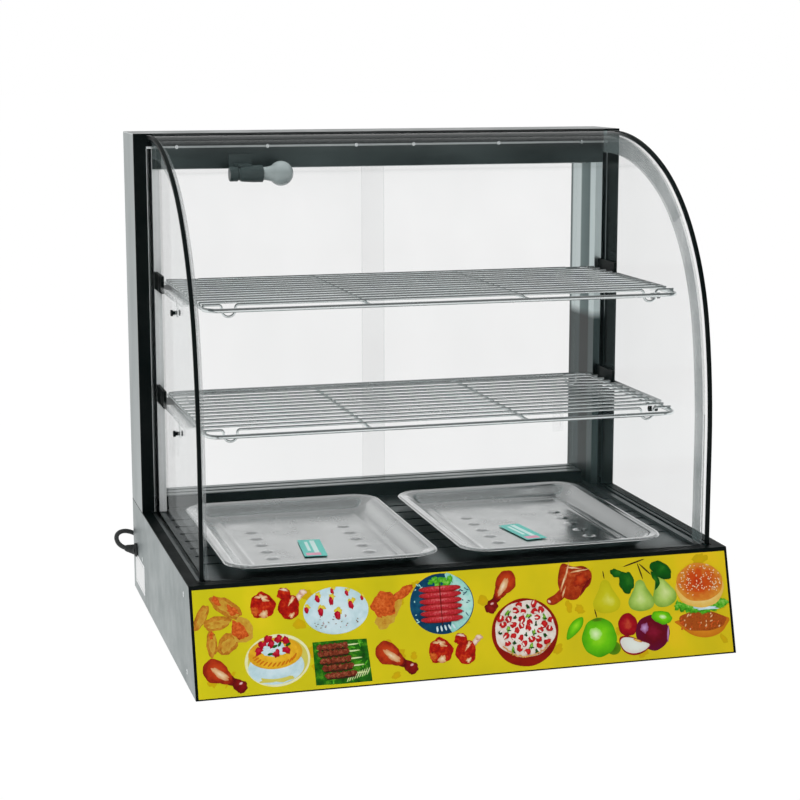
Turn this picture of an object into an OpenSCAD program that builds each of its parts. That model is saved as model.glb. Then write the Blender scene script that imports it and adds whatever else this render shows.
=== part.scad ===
// Heated countertop display case with a curved glass front, two wire shelves
// and two food trays. X runs to the right, Y to the back and Z up, in
// millimetres. The origin is on the table, under the middle of the case.

/* [Case] */
// Overall width of the case
case_w = 660; // [640:10:700]
// Overall depth of the case
case_d = 500; // [490:5:520]
// Overall height of the case with its feet
case_h = 620; // [615:1:630]
// Height of the base box with its feet
base_h = 127.5; // [127:0.5:130]
// How far the slanted front leans back from foot to top
front_setback = 36.5; // [34:0.5:38]
// Height of the rubber feet
foot_h = 4; // [3:1:5]
// Thickness of the casing sheet
sheet = 1.2; // [1:0.1:1.2]

/* [Rear frame] */
// Depth of the columns and the header
column_d = 95; // [94:1:98]
// Width of a column from the front
column_w = 32.5; // [32:0.5:33]
// Height of the header
header_h = 45; // [44:1:46]
// Width of the black lip around the frame
lip_w = 16; // [15:1:16]

/* [Glass] */
// Thickness of every pane
glass_t = 5; // [4:1:5]
// Radius of the middle of the bend in the front pane
bend_mid_r = 270; // [266:2:274]

/* [Shelves] */
// Height of the rail flange under the lower shelf
lower_rail_z = 280; // [270:5:300]
// Height of the rail flange under the upper shelf
upper_rail_z = 427; // [425:1:436]
// Thickness of the shelf frame wire
frame_wire = 5; // [4:0.5:5]
// Thickness of the shelf cross wires
shelf_wire = 3; // [2.5:0.5:3]
// Number of cross wires on a shelf
wire_count = 13; // [9:1:15]

/* [Trays] */
// Width of a tray over its rim
tray_w = 260; // [240:5:262]
// Length of a tray over its rim
tray_l = 334; // [300:2:336]
// Depth of a tray
tray_h = 16; // [14:1:22]

/* [Power cord] */
// Thickness of the power cord
cord_d = 6.2; // [5:0.2:7]
// Radius of the coil at the middle of its turns
coil_r = 37.5; // [36:0.5:38]

/* [Hidden] */
$fn = 48;

hw = case_w / 2;
y_front = -case_d / 2;
y_rear = case_d / 2;
y_col = y_rear - column_d;
x_jamb = hw - column_w;
slope = front_setback / (base_h - foot_h);
e = 0.01;

// Black trim
rim_t = 1.5;
rim_w = 13;
rim_lip = 4;
lip_t = 1.5;
y_face = y_col + lip_t;
lip_z = case_h - lip_w;
seat_z = lip_z - 2.5;

// Bend of the front pane: radius, angle and facets of each arc, from the foot up
bend_r = [650, bend_mid_r, 375];
bend_a = [13, 51, 26];
bend_steps = [4, 17, 8];

// Glass planes
x_glass = hw - 17.5;
x_glass_in = x_glass - glass_t;
y_glass = y_front + front_setback + 15.5;
glass_top = case_h - 2.2;
y_glass_end = y_col - 2.5;
channel_z = 123.5;
trim_w = 3.5;
seal_w = 24;
seal_t = 3;

// Floor plate and its slots
floor_z = 122;
floor_t = 1.2;
y_sill = y_rear - 56.5;
slot_rows = 7;
slot_pitch = 38.4;
slot_y0 = -103.4;
slot_size = [28, 6];
slot_cols = [-286, 10, 288];

// Doors
door_y = [y_rear - 41, y_rear - 23];
track_y = [y_sill + 1.5, y_rear - 9];
track_top = 140;
door_z = [132.3, case_h - 34];
door_overlap = 13;
header_z = case_h - header_h;

// Controls on the recessed rear panel
y_panel = y_rear - 18;
control_z = 66;
knob_x = -220;
power_x = -140;
lamp_x = -100;
pilot_x = -66;
rocker_rest = -8;
rocker_pivot = y_panel - 1;

// Shelves and trays
shelf_x = 292;
shelf_y = [-143, 170];
shelf_bend = 18;
foot_x = 262;
shelf_rod_x = 98;
tray_x = [-150, 135.5];
tray_y = -21;
rail_y = [98, -62];
stud_y = -28;
stud_drop = 13;
weld = 0.02;

// Cord: it leaves the bushing, turns behind the case and drops to the table
bushing_pos = [-hw, 219, 62];
bushing_turn = 45;
bushing_len = 22;
coil_pos = [-180, 340];
coil_h = 13;
cord_points = [[-342, 231, 62], [-347.5, 237, 63.4], [-351.5, 244, 66.4], [-353, 252, 70.4],
  [-351, 261, 74], [-345, 270, 75.6], [-336, 277, 74.4], [-325, 282, 69.4], [-313, 285, 60],
  [-300, 287, 48], [-286, 290, 34], [-271, 293, 21], [-256, 296.5, 11], [-240, 299, 5.6],
  [-225, 300, 3.8], [-204, 298, 3.4]];
plug_points = [[-162, 300, 9.6], [-151, 302, 9.8], [-140, 302, 11.5], [-131, 302, 14],
  [-123, 302, 16.5], [-116, 302, 17.8], [-110, 302, 18]];
plug_x = -110;

// ---- Helpers -------------------------------------------------------------

function front_y(z) = y_front + (z - foot_h) * slope;
function unit(v) = v / norm(v);
function curve_at(p, i, t) =
  let (a = p[max(i - 1, 0)], b = p[i], c = p[i + 1], d = p[min(i + 2, len(p) - 1)])
  0.5 * (2 * b + (c - a) * t + (2 * a - 5 * b + 4 * c - d) * t * t
    + (3 * b - a - 3 * c + d) * t * t * t);
function smooth(p, n) = concat(
  [for (i = [0:len(p) - 2], k = [0:n - 1]) curve_at(p, i, k / n)], [p[len(p) - 1]]);
function tangents(p) = [for (i = [0:len(p) - 1])
  unit(p[min(i + 1, len(p) - 1)] - p[max(i - 1, 0)])];
function normals(t) = [for (i = 0, n = unit(cross(t[0], [0.3, 0.2, 1]));
  i < len(t);
  i = i + 1, n = i < len(t) ? unit(n - t[i] * (n * t[i])) : n) n];

module tube(points, d, sides) {
  t = tangents(points);
  n = normals(t);
  rings = len(points);
  pts = [for (i = [0:rings - 1], k = [0:sides - 1])
    points[i] + d / 2 * (n[i] * cos(360 * k / sides) + cross(t[i], n[i]) * sin(360 * k / sides))];
  walls = [for (i = [0:rings - 2], k = [0:sides - 1])
    [i * sides + k, (i + 1) * sides + k, (i + 1) * sides + (k + 1) % sides, i * sides + (k + 1) % sides]];
  cap_a = [for (k = [0:sides - 1]) k];
  cap_b = [for (k = [sides - 1:-1:0]) (rings - 1) * sides + k];
  polyhedron(pts, concat([cap_a, cap_b], walls), convexity = 10);
}

// A box from its two corners
module box(a, b) {
  translate(a) cube(b - a);
}

// A YZ outline spread along X, from x0 to x1
module spread_x(x0, x1) {
  translate([x0, 0, 0]) rotate([90, 0, 90]) linear_extrude(x1 - x0) children();
}

module both_sides() {
  children();
  mirror([1, 0, 0]) children();
}

// A layer of the slanted front, between two depths, two heights and two sides
module front_layer(x0, x1, z0, z1, d0, d1) {
  spread_x(x0, x1) polygon([[front_y(z0) + d0, z0], [front_y(z0) + d1, z0],
    [front_y(z1) + d1, z1], [front_y(z1) + d0, z1]]);
}

module rod_x_dir(p, len, r) {
  translate(p) rotate([0, 90, 0]) cylinder(h = len, r = r);
}

module rod_y_dir(p, len, r) {
  translate(p) rotate([-90, 0, 0]) cylinder(h = len, r = r);
}

// The bend of the front pane. Heading 0 points up and 90 points back.
function heading(i) = i == 0 ? 0 : heading(i - 1) + bend_a[i - 1];
function rise(i) = bend_r[i] * (sin(heading(i + 1)) - sin(heading(i)));
function run(i) = bend_r[i] * (cos(heading(i)) - cos(heading(i + 1)));
bend_start_z = glass_top - rise(0) - rise(1) - rise(2);
function bend_point(i) = i == 0 ? [y_glass, bend_start_z]
  : bend_point(i - 1) + [run(i - 1), rise(i - 1)];
function inward(h) = [cos(h), -sin(h)];
function bend_centre(i) = bend_point(i) + bend_r[i] * inward(heading(i));

// The bend's line, d inside its outer face, from the foot to the end of the last arc
function bend_line(d) = concat(
  [for (i = [0:2], k = [0:bend_steps[i] - 1])
    bend_centre(i) - (bend_r[i] - d) * inward(heading(i) + bend_a[i] * k / bend_steps[i])],
  [bend_point(3) + d * inward(heading(3))]);
function reversed(v) = [for (i = [len(v) - 1:-1:0]) v[i]];

// A strip that follows the bend, from d0 to d1 inside its outer face
module bend_strip(d0, d1, z0, y1) {
  polygon(concat([[y_glass + d1, z0], [y_glass + d0, z0]], bend_line(d0),
    [[y1, glass_top - d0], [y1, glass_top - d1]], reversed(bend_line(d1))));
}

// ---- Base casing ---------------------------------------------------------

// The side's outline between two heights, starting at depth d behind the front
module side_outline(z0, z1, d) {
  polygon([[front_y(z0) + d, z0], [y_rear, z0], [y_rear, z1], [front_y(z1) + d, z1]]);
}

side_top = base_h - rim_t;
side_screws = [[168.5, 61.5], [-190, 20], [-175, 108]];

module side_panel() {
  difference() {
    union() {
      spread_x(hw - sheet, hw) side_outline(foot_h, side_top, 2);
      spread_x(hw - rim_w + e, hw - sheet) {
        side_outline(foot_h + sheet, foot_h + 2 * sheet, 4);
        side_outline(side_top - sheet, side_top, 4);
      }
      box([hw - 13, y_rear - sheet, foot_h + 2 * sheet], [hw - sheet, y_rear, side_top - sheet]);
    }
    for (s = side_screws) rod_x_dir([hw - sheet - 1, s[0], s[1]], sheet + 2, 3.2);
  }
}

module left_side_panel() {
  color("silver") difference() {
    mirror([1, 0, 0]) side_panel();
    rod_x_dir([-hw - 1, bushing_pos[1], bushing_pos[2]], sheet + 2, 8);
  }
}

module right_side_panel() {
  color("silver") side_panel();
}

foot_spots = [[280, 200], [280, -200]];

module bottom_plate() {
  color("darkgray") difference() {
    box([-hw + sheet, y_front + 3.6, foot_h], [hw - sheet, y_rear, foot_h + sheet]);
    both_sides() for (f = foot_spots) translate([f[0], f[1], 0]) cylinder(h = 20, r = 3);
    for (x = [-180:30:180], y = [-60, 60]) box([x - 2.5, y - 25, 0], [x + 2.5, y + 25, 20]);
  }
}

module rocker_hole(x) {
  box([x - 6.3, y_panel - 1, control_z - 9.3], [x + 6.3, y_panel + 3, control_z + 9.3]);
}

panel_screws = [[300, 14], [300, 116], [0, 14], [0, 116]];

module rear_control_panel() {
  color("silver") difference() {
    box([-hw + sheet, y_panel, foot_h + 2 * sheet],
      [hw - sheet, y_panel + sheet, side_top - sheet]);
    rod_y_dir([knob_x, y_panel - 1, control_z], 4, 4);
    rocker_hole(power_x);
    rocker_hole(lamp_x);
    rod_y_dir([pilot_x, y_panel - 1, control_z], 4, 5);
    both_sides() for (s = panel_screws) rod_y_dir([s[0], y_panel - 1, s[1]], 4, 3.2);
  }
}

module front_backing_panel() {
  color("darkgray") front_layer(-hw + sheet, hw - sheet, foot_h + sheet, side_top, 2, 3.2);
}

module front_graphic_panel() {
  color("gold") front_layer(-hw + 3.2, hw - 3.2, 5.6, 122.8, 0, 2);
}

module front_panel_trim() {
  color("black") difference() {
    front_layer(-hw, hw, foot_h, base_h - rim_lip, 0, 2);
    front_layer(-hw + 3.2, hw - 3.2, 5.6, 122.8, -1, 3);
  }
}

module top_rim() {
  y0 = y_front + front_setback;
  color("black") {
    spread_x(-hw, hw) polygon([[front_y(base_h - rim_lip), base_h - rim_lip], [y0, base_h],
      [y0 + rim_w, base_h], [y0 + rim_w, side_top], [front_y(side_top) + 1.5, side_top],
      [front_y(base_h - rim_lip) + 1.5, base_h - rim_lip]]);
    both_sides() box([hw - rim_w, y0 + rim_w - e, side_top], [hw, y_rear, base_h]);
  }
}

// The steel channel that holds a side pane, with a ledge for the floor plate
module side_glass_channels() {
  color("lightgray") both_sides() difference() {
    union() {
      box([hw - 30, y_glass + 8.5, floor_z - 2.4], [hw - rim_w - e, y_sill, side_top + 0.5]);
      box([hw - 46, y_glass + 8.5, floor_z - 2.4], [hw - 29, y_sill, floor_z - floor_t]);
    }
    box([x_glass_in - 0.3, y_glass, channel_z], [x_glass + 0.3, y_sill + 1, base_h]);
  }
}

module front_glass_channel() {
  color("lightgray") difference() {
    union() {
      box([-hw + rim_w + e, y_glass - 2.5, floor_z - 2.4], [hw - rim_w - e, y_glass + 8.4, side_top]);
      box([-hw + 47, y_glass + 8, floor_z - 2.4], [hw - 47, y_glass + 20, floor_z - floor_t]);
    }
    box([-hw, y_glass - 0.2, channel_z], [hw, y_glass + glass_t + 0.6, base_h]);
    both_sides() box([x_glass_in - 0.3, y_glass, channel_z], [x_glass + 0.3, y_glass + 10, base_h]);
  }
}

module floor_plate() {
  color("silver") difference() {
    box([-hw + 30.3, y_glass + 8.7, floor_z - floor_t], [hw - 30.3, y_sill - 0.2, floor_z]);
    for (x = slot_cols, i = [0:slot_rows - 1])
      translate([x, slot_y0 + i * slot_pitch, floor_z - 3]) linear_extrude(5) slot();
  }
}

module slot() {
  r = slot_size[1] / 2;
  half = slot_size[0] / 2 - r;
  square([2 * half, 2 * r], center = true);
  for (s = [-1, 1]) translate([s * half, 0]) circle(r = r);
}

// ---- Heating -------------------------------------------------------------

heat_x = 280;
heat_y = [-176, 172];
heat_z = [60, 112];
heater_z = 90;
heater_r = 3.25;
pass_y = [120, 40, -40, -120];
pass_x = 220;

module heat_tray() {
  color("silver") difference() {
    box([-heat_x, heat_y[0], heat_z[0]], [heat_x, heat_y[1], heat_z[1]]);
    box([1 - heat_x, heat_y[0] + 1, heat_z[0] + 1], [heat_x - 1, heat_y[1] - 1, heat_z[1] + 1]);
    for (y = [pass_y[0], pass_y[3]]) rod_x_dir([heat_x - 5, y, heater_z], 10, heater_r + 0.3);
  }
}

module heating_element() {
  color("dimgray") {
    for (i = [0:3]) {
      x0 = -pass_x;
      x1 = i == 0 || i == 3 ? heat_x + 14 : pass_x;
      rod_x_dir([x0, pass_y[i], heater_z], x1 - x0, heater_r);
    }
    for (i = [0:2]) {
      side = i == 1 ? 1 : -1;
      translate([side * pass_x, (pass_y[i] + pass_y[i + 1]) / 2, heater_z])
        rotate([0, 0, side > 0 ? -90 : 90]) rotate_extrude(angle = 180)
          translate([(pass_y[0] - pass_y[1]) / 2, 0]) circle(r = heater_r);
    }
  }
}

// Three strips that carry the element, and the four feet of the heat tray
module heater_brackets() {
  z_top = heater_z - heater_r;
  color("darkgray") {
    for (x = [-150, 0, 150]) {
      box([x - 6, -150, z_top - 2], [x + 6, 150, z_top]);
      for (y = [-150, 148]) box([x - 6, y, heat_z[0] + 1], [x + 6, y + 2, z_top - 2]);
    }
    both_sides() for (y = [-150, 140])
      translate([250, y, foot_h + sheet]) cylinder(h = heat_z[0] - foot_h - sheet, r = 6);
  }
}

// ---- Controls ------------------------------------------------------------

module thermostat_body() {
  color("white") difference() {
    box([knob_x - 24, y_panel - 27, control_z - 22], [knob_x + 24, y_panel, control_z + 22]);
    rod_y_dir([knob_x, y_panel - 12, control_z], 13, 3.05);
  }
}

module thermostat_shaft() {
  color("silver") rod_y_dir([knob_x, y_panel - 11.5, control_z], 24.5, 3);
}

module thermostat_knob() {
  color("black") difference() {
    union() {
      rod_y_dir([knob_x, y_panel + 3, control_z], 6, 19);
      rod_y_dir([knob_x, y_panel + 9, control_z], 3, 16);
      box([knob_x - 4, y_panel + 9, control_z - 15.5], [knob_x + 4, y_rear - 1, control_z + 15.5]);
    }
    rod_y_dir([knob_x, y_panel + 2, control_z], 11, 3);
  }
}

sensor_tube = [[-200, 224, 92], [-200, 215, 104], [-200, 200, 114.5], [-200, 180, 116.5],
  [-200, 160, 116.5], [-200, 150, 116.5], [-190, 138, 116.5], [-172, 130, 116.5],
  [-158, 130, 116.5]];

// Capillary tube and bulb, under the floor plate
module thermostat_sensor() {
  color("peru") {
    tube(smooth(sensor_tube, 3), 2, 8);
    rod_x_dir([-158, 130, 116.5], 80, 3);
  }
}

module switch_housing(x) {
  difference() {
    union() {
      box([x - 7.5, y_panel + sheet, control_z - 10.5], [x + 7.5, y_panel + sheet + 2, control_z + 10.5]);
      box([x - 6.2, y_panel - 14, control_z - 9.2], [x + 6.2, y_panel + sheet + 0.5, control_z + 9.2]);
    }
    box([x - 5.2, y_panel - 6, control_z - 8.4], [x + 5.2, y_panel + 5, control_z + 8.4]);
    rod_x_dir([x - 6, rocker_pivot, control_z], 12, 1.05);
  }
}

module switch_rocker(x) {
  translate([0, rocker_pivot, control_z]) rotate([rocker_rest, 0, 0]) {
    spread_x(x - 4.9, x + 4.9) polygon([[-3, -7.6], [-3, 7.6], [5.6, 7.6], [3.6, 0], [5.6, -7.6]]);
    rod_x_dir([x - 5.9, 0, 0], 11.8, 1);
  }
}

module power_switch_housing() {
  color("black") switch_housing(power_x);
}

module power_switch_rocker() {
  color("red") switch_rocker(power_x);
}

module lamp_switch_housing() {
  color("black") switch_housing(lamp_x);
}

module lamp_switch_rocker() {
  color("green") switch_rocker(lamp_x);
}

module pilot_lamp() {
  color("orange") {
    rod_y_dir([pilot_x, y_panel - 14, control_z], 14 + sheet, 4.9);
    rod_y_dir([pilot_x, y_panel + sheet, control_z], 1.2, 7);
    rod_y_dir([pilot_x, y_panel + sheet + 1.2, control_z], 2.5, 5);
  }
}

module terminal_block() {
  color("white") difference() {
    box([-290, 195, foot_h + sheet], [-250, 215, 26]);
    for (x = [-283, -270, -257]) translate([x, 205, 20]) cylinder(h = 8, r = 3);
  }
}

// Leads from the terminal block to the controls, the element and the lamp
wire_routes = [
  [[-282, 215.6, 16], [-282, 220, 16.6], [-277, 223, 26], [-262, 222, 40], [-246, 217, 55]],
  [[-270, 215.6, 11], [-269.6, 220, 10.7], [-256, 224, 10.6], [-230, 224, 14], [-180, 222, 22],
    [-150, 218, 40], [-140, 216.4, 55.4]],
  [[-258, 215.6, 16], [-257.6, 219, 16.2], [-246, 219.5, 18], [-205, 219, 20], [-150, 216, 24], [-112, 214, 38],
    [-100, 216.4, 55.4]],
  [[-249.4, 200, 12], [-200, 190, 10], [-100, 184, 10], [100, 182, 10], [230, 180, 14],
    [290, 165, 40], [304, 140, 78], [304, 124, 90], [295, 120, 90]],
  [[-249.4, 209, 10], [-200, 200, 10], [0, 200, 10], [200, 196, 12], [290, 180, 20],
    [312, 100, 50], [314, -20, 70], [308, -100, 86], [304, -118, 90], [295, -120, 90]]];
lamp_lead = [[-276, 199, 26.3], [-276.3, 198.7, 31], [-282, 190, 44], [-300, 184, 60], [-306, 182, 80], [-306, 182, 105]];

module internal_wiring() {
  color("saddlebrown") {
    for (r = wire_routes) tube(smooth(r, 3), 2.4, 8);
    tube(smooth(lamp_lead, 3), 3, 8);
  }
}

// ---- Feet and fasteners --------------------------------------------------

module rubber_feet() {
  color("black") both_sides() for (f = foot_spots) translate([f[0], f[1], 0]) {
    cylinder(h = foot_h, r = 14);
    translate([0, 0, foot_h]) cylinder(h = sheet, r = 3);
  }
}

// A flush cross-recessed screw along -Y or -X, with its head at the origin
module flush_screw() {
  difference() {
    union() {
      translate([0, 0, -sheet]) cylinder(h = sheet, r = 3.2);
      translate([0, 0, -7]) cylinder(h = 7 - sheet, r = 1.9);
    }
    for (a = [0, 90]) rotate([0, 0, a]) translate([-2, -0.4, -0.8]) cube([4, 0.8, 2]);
  }
}

module seat_screw() {
  difference() {
    cylinder(h = 1.4, r = 2.4);
    for (a = [45, 135]) rotate([0, 0, a]) translate([-1.6, -0.3, 0.7]) cube([3.2, 0.6, 2]);
  }
}

seat_screw_x = [39, 157, 275];

module casing_screws() {
  color("gainsboro") both_sides() {
    for (s = side_screws) translate([hw, s[0], s[1]]) rotate([0, 90, 0]) flush_screw();
    for (x = seat_screw_x) translate([x, y_col - 1, seat_z + 1.25]) rotate([90, 0, 0]) seat_screw();
  }
  color("gainsboro") both_sides() for (s = panel_screws) if (s[0] > 0)
    translate([s[0], y_panel + sheet, s[1]]) rotate([-90, 0, 0]) flush_screw();
  color("gainsboro") for (s = panel_screws) if (s[0] == 0)
    translate([0, y_panel + sheet, s[1]]) rotate([-90, 0, 0]) flush_screw();
}

// ---- Power cord ----------------------------------------------------------

// Snap-in strain relief, its sleeve turned towards the back
module cord_bushing() {
  color("black") translate(bushing_pos) {
    difference() {
      rod_x_dir([-3, 0, 0], 12, 8);
      rod_x_dir([0, 0, 0], 12, 5);
    }
    rod_x_dir([-4, 0, 0], 4, 10.5);
    rotate([0, 0, -bushing_turn]) translate([-1, 0, 0]) rotate([0, -90, 0])
      cylinder(h = bushing_len - 3, r1 = 7.2, r2 = 4.4);
  }
}

module power_cord() {
  color("black") {
    tube(smooth(cord_points, 4), cord_d, 12);
    tube(smooth(plug_points, 2), cord_d, 12);
  }
}

module cord_coil() {
  color("black") translate([coil_pos[0], coil_pos[1], 0]) rotate_extrude()
    translate([coil_r - 9.6, 0]) square([19.2, coil_h]);
}

module power_plug() {
  color("black") translate([plug_x, plug_points[6][1], plug_points[6][2]]) rotate([0, 90, 0]) {
    cylinder(h = 22, r1 = 4.6, r2 = 7);
    translate([0, 0, 22]) cylinder(h = 12, r1 = 12, r2 = 17.5);
    translate([0, 0, 34]) cylinder(h = 8, r = 17.5);
    translate([0, 0, 42]) cylinder(h = 10, r = 13);
    for (s = [-1, 1]) translate([0, s * 9.5, 52]) cylinder(h = 19, r = 2.4);
  }
}

// ---- Rear frame ----------------------------------------------------------

module column_shell() {
  z1 = case_h - sheet;
  color("silver") difference() {
    box([x_jamb, y_face, base_h], [hw, y_rear, z1]);
    box([x_jamb + sheet, y_face + sheet, base_h - 1], [hw - sheet, y_rear - sheet, z1 + 1]);
    box([x_glass_in - 0.5, y_face - 1, base_h - 1], [x_glass + 0.5, y_face + 6, lip_z - 3]);
  }
}

module left_column() {
  mirror([1, 0, 0]) column_shell();
}

module right_column() {
  column_shell();
}

module column_lips() {
  color("black") both_sides() box([hw - lip_w, y_col, base_h], [hw, y_face, lip_z]);
}

module header_shell() {
  x = x_jamb - 0.1;
  top = case_h - sheet;
  color("silver") {
    box([-hw, y_face, top], [hw, y_rear, case_h]);
    box([-x, y_face, header_z], [x, y_face + sheet, top]);
    box([-x, y_rear - sheet, header_z], [x, y_rear, top]);
    box([-x, y_face + sheet, header_z], [x, track_y[0], header_z + sheet]);
    box([-x, track_y[1], header_z], [x, y_rear - sheet, header_z + sheet]);
  }
}

module header_lip() {
  color("black") box([-hw, y_col, lip_z], [hw, y_face, case_h]);
}

module header_inner_rail() {
  color("dimgray") box([-x_glass_in + 1, y_col, header_z], [x_glass_in - 1, y_face, seat_z]);
}

module glass_seat_strip() {
  color("silver") box([-x_glass_in + 1, y_col - 1, seat_z], [x_glass_in - 1, y_face, lip_z]);
}

module top_glass_seal() {
  color("black") difference() {
    box([-x_glass_in + 1.5, y_col - 5, glass_top - 6.4], [x_glass_in - 1.5, y_col, glass_top + 1.4]);
    box([-hw, y_col - 6, glass_top - glass_t], [hw, y_glass_end, glass_top]);
  }
}

// ---- Doors ---------------------------------------------------------------

module rear_sill() {
  x = hw - rim_w - e;
  color("dimgray") {
    box([-x, y_sill, side_top], [x, y_rear, base_h]);
    box([-x_jamb + 0.2, y_sill, base_h - e], [x_jamb - 0.2, y_sill + 1.5, track_top - 1]);
    box([-x, y_sill, floor_z - 1], [x, y_sill + 1.5, side_top + e]);
  }
}

module door_track(z0, z1, g0, g1) {
  x = x_jamb - 0.2;
  difference() {
    box([-x, track_y[0], z0], [x, track_y[1], z1]);
    for (y = door_y) box([-hw, y - 3, g0], [hw, y + 3, g1]);
  }
}

module lower_door_track() {
  color("lightgray") door_track(base_h, track_top, door_z[0] - 0.3, track_top + 1);
}

module upper_door_track() {
  color("lightgray") door_track(header_z - 3, header_z + 15, header_z - 4, header_z + 13);
}

door_end = x_jamb - 1;

module left_rear_door() {
  y = door_y[0];
  color("lightcyan", 0.4) box([-door_end, y - 2.5, door_z[0]], [door_overlap, y + 2.5, door_z[1]]);
}

module right_rear_door() {
  y = door_y[1];
  color("lightcyan", 0.4) box([-door_overlap, y - 2.5, door_z[0]], [door_end, y + 2.5, door_z[1]]);
}

module door_pull(x, y) {
  color("white", 0.6) difference() {
    box([x - 7, y + 2.5, 190], [x + 7, y + 10, 250]);
    box([x - 4, y + 5, 195], [x + 4, y + 11, 245]);
  }
}

module left_door_pull() {
  door_pull(20 - door_end, door_y[0]);
}

module right_door_pull() {
  door_pull(door_end - 20, door_y[1]);
}

// ---- Glass ---------------------------------------------------------------

module side_glass() {
  d = glass_t + 0.2;
  y_tab = y_col + 5.5;
  color("lightcyan", 0.3) difference() {
    spread_x(x_glass_in, x_glass)
      polygon(concat([[y_tab, channel_z], [y_glass + d, channel_z]], bend_line(d),
        [[y_col - 0.3, glass_top - d], [y_col - 0.3, lip_z - 5], [y_tab, lip_z - 5]]));
    for (z = [lower_rail_z, upper_rail_z])
      rod_x_dir([x_glass_in - 1, stud_y, z - stud_drop], glass_t + 2, 3);
  }
}

module left_side_glass() {
  mirror([1, 0, 0]) side_glass();
}

module right_side_glass() {
  side_glass();
}

module front_glass() {
  color("lightcyan", 0.3) spread_x(-x_glass + 1.5, x_glass - 1.5)
    bend_strip(0, glass_t, channel_z, y_glass_end);
}

module glass_edge_trims() {
  x0 = x_glass - 1.5;
  color("black") both_sides() spread_x(x0, x0 + trim_w)
    bend_strip(-1, glass_t, base_h, y_col - 5.2);
}

module corner_seals() {
  color("lightgray") both_sides() spread_x(x_glass_in - seal_t, x_glass_in)
    bend_strip(glass_t + 0.2, glass_t + seal_w, base_h, y_col - 7);
}

// ---- Shelves -------------------------------------------------------------

module side_rail(z) {
  x1 = x_glass_in;
  box([x1 - 1.5, rail_y[1], z - 2], [x1, rail_y[0], z + 4]);
  box([x1 - 19.5, rail_y[1], z - 2], [x1 - 1.5 + e, rail_y[0], z]);
  difference() {
    box([x1 - 1.5, stud_y - 5, z - stud_drop - 5], [x1, stud_y + 5, z - 2 + e]);
    rod_x_dir([x1 - 3, stud_y, z - stud_drop], 5, 3);
  }
}

module shelf_rails() {
  color("gainsboro") both_sides() {
    side_rail(lower_rail_z);
    side_rail(upper_rail_z);
  }
}

// Black sockets that hang a rail on the column
module rail_brackets() {
  x1 = x_glass_in - 0.5;
  color("black") both_sides() for (z = [lower_rail_z, upper_rail_z]) {
    box([x1 - 4, rail_y[0], z - 5], [x1, y_face, z + 17]);
    box([x1 - 19, rail_y[0], z - 5], [x1 - 4 + e, y_col - 3, z]);
  }
}

// Studs through the side panes, with a cap outside and a nut inside
module rail_studs() {
  color("dimgray") both_sides() for (z = [lower_rail_z, upper_rail_z]) {
    rod_x_dir([x_glass, stud_y, z - stud_drop], 2.5, 3.8);
    rod_x_dir([x_glass_in - 4, stud_y, z - stud_drop], 2.5, 3.6);
    rod_x_dir([x_glass_in - 4, stud_y, z - stud_drop], 11, 2.2);
  }
}

module frame_bend(p, a) {
  translate([p[0], p[1], 0]) rotate([0, 0, a]) rotate_extrude(angle = 90)
    translate([shelf_bend, 0]) circle(r = frame_wire / 2);
}

module shelf_frame() {
  r = frame_wire / 2;
  b = shelf_bend;
  for (y = shelf_y) rod_x_dir([b - shelf_x, y, 0], 2 * (shelf_x - b), r);
  for (s = [-1, 1]) rod_y_dir([s * shelf_x, shelf_y[0] + b, 0], shelf_y[1] - shelf_y[0] - 2 * b, r);
  frame_bend([shelf_x - b, shelf_y[1] - b], 0);
  frame_bend([b - shelf_x, shelf_y[1] - b], 90);
  frame_bend([b - shelf_x, shelf_y[0] + b], 180);
  frame_bend([shelf_x - b, shelf_y[0] + b], 270);
}

// A cross wire that dips into a foot near each end
module foot_wire(y) {
  r = shelf_wire / 2;
  bend = 4;
  u = 8;
  z_leg = -2;
  z = (frame_wire + shelf_wire) / 2 + weld;
  z_bend = z - bend;
  rod_x_dir([u + bend - foot_x, y, z], 2 * (foot_x - u - bend), r);
  both_sides() {
    rod_x_dir([foot_x + u + bend, y, z], shelf_x - foot_x - u - bend + 1, r);
    translate([foot_x + u + bend, y, z_bend]) rotate([90, 0, 0]) rotate([0, 0, 90])
      rotate_extrude(angle = 90) translate([bend, 0]) circle(r = r);
    translate([foot_x - u - bend, y, z_bend]) rotate([90, 0, 0])
      rotate_extrude(angle = 90) translate([bend, 0]) circle(r = r);
    for (s = [-1, 1]) translate([foot_x + s * u, y, z_leg]) cylinder(h = z_bend - z_leg, r = r);
    translate([foot_x, y, z_leg]) rotate([90, 0, 0]) rotate([0, 0, 180])
      rotate_extrude(angle = 180) translate([u, 0]) circle(r = r);
  }
}

module wire_shelf() {
  pitch = (shelf_y[1] - shelf_y[0]) / (wire_count + 1);
  z = (frame_wire + shelf_wire) / 2 + weld;
  shelf_frame();
  for (i = [2:wire_count - 1])
    rod_x_dir([-shelf_x - 1, shelf_y[0] + i * pitch, z], 2 * shelf_x + 2, shelf_wire / 2);
  foot_wire(shelf_y[0] + pitch);
  foot_wire(shelf_y[1] - pitch);
  for (s = [-1, 1]) rod_y_dir([s * shelf_rod_x, shelf_y[0] + 2.7, 0.45],
    shelf_y[1] - shelf_y[0] - 5.4, 2);
}

module upper_shelf() {
  color("gainsboro") translate([0, 0, upper_rail_z + frame_wire / 2]) wire_shelf();
}

module lower_shelf() {
  color("gainsboro") translate([0, 0, lower_rail_z + frame_wire / 2]) wire_shelf();
}

// ---- Lamp ----------------------------------------------------------------

lamp_pos = [-146, 124, 569];
bulb_r = 16;

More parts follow.
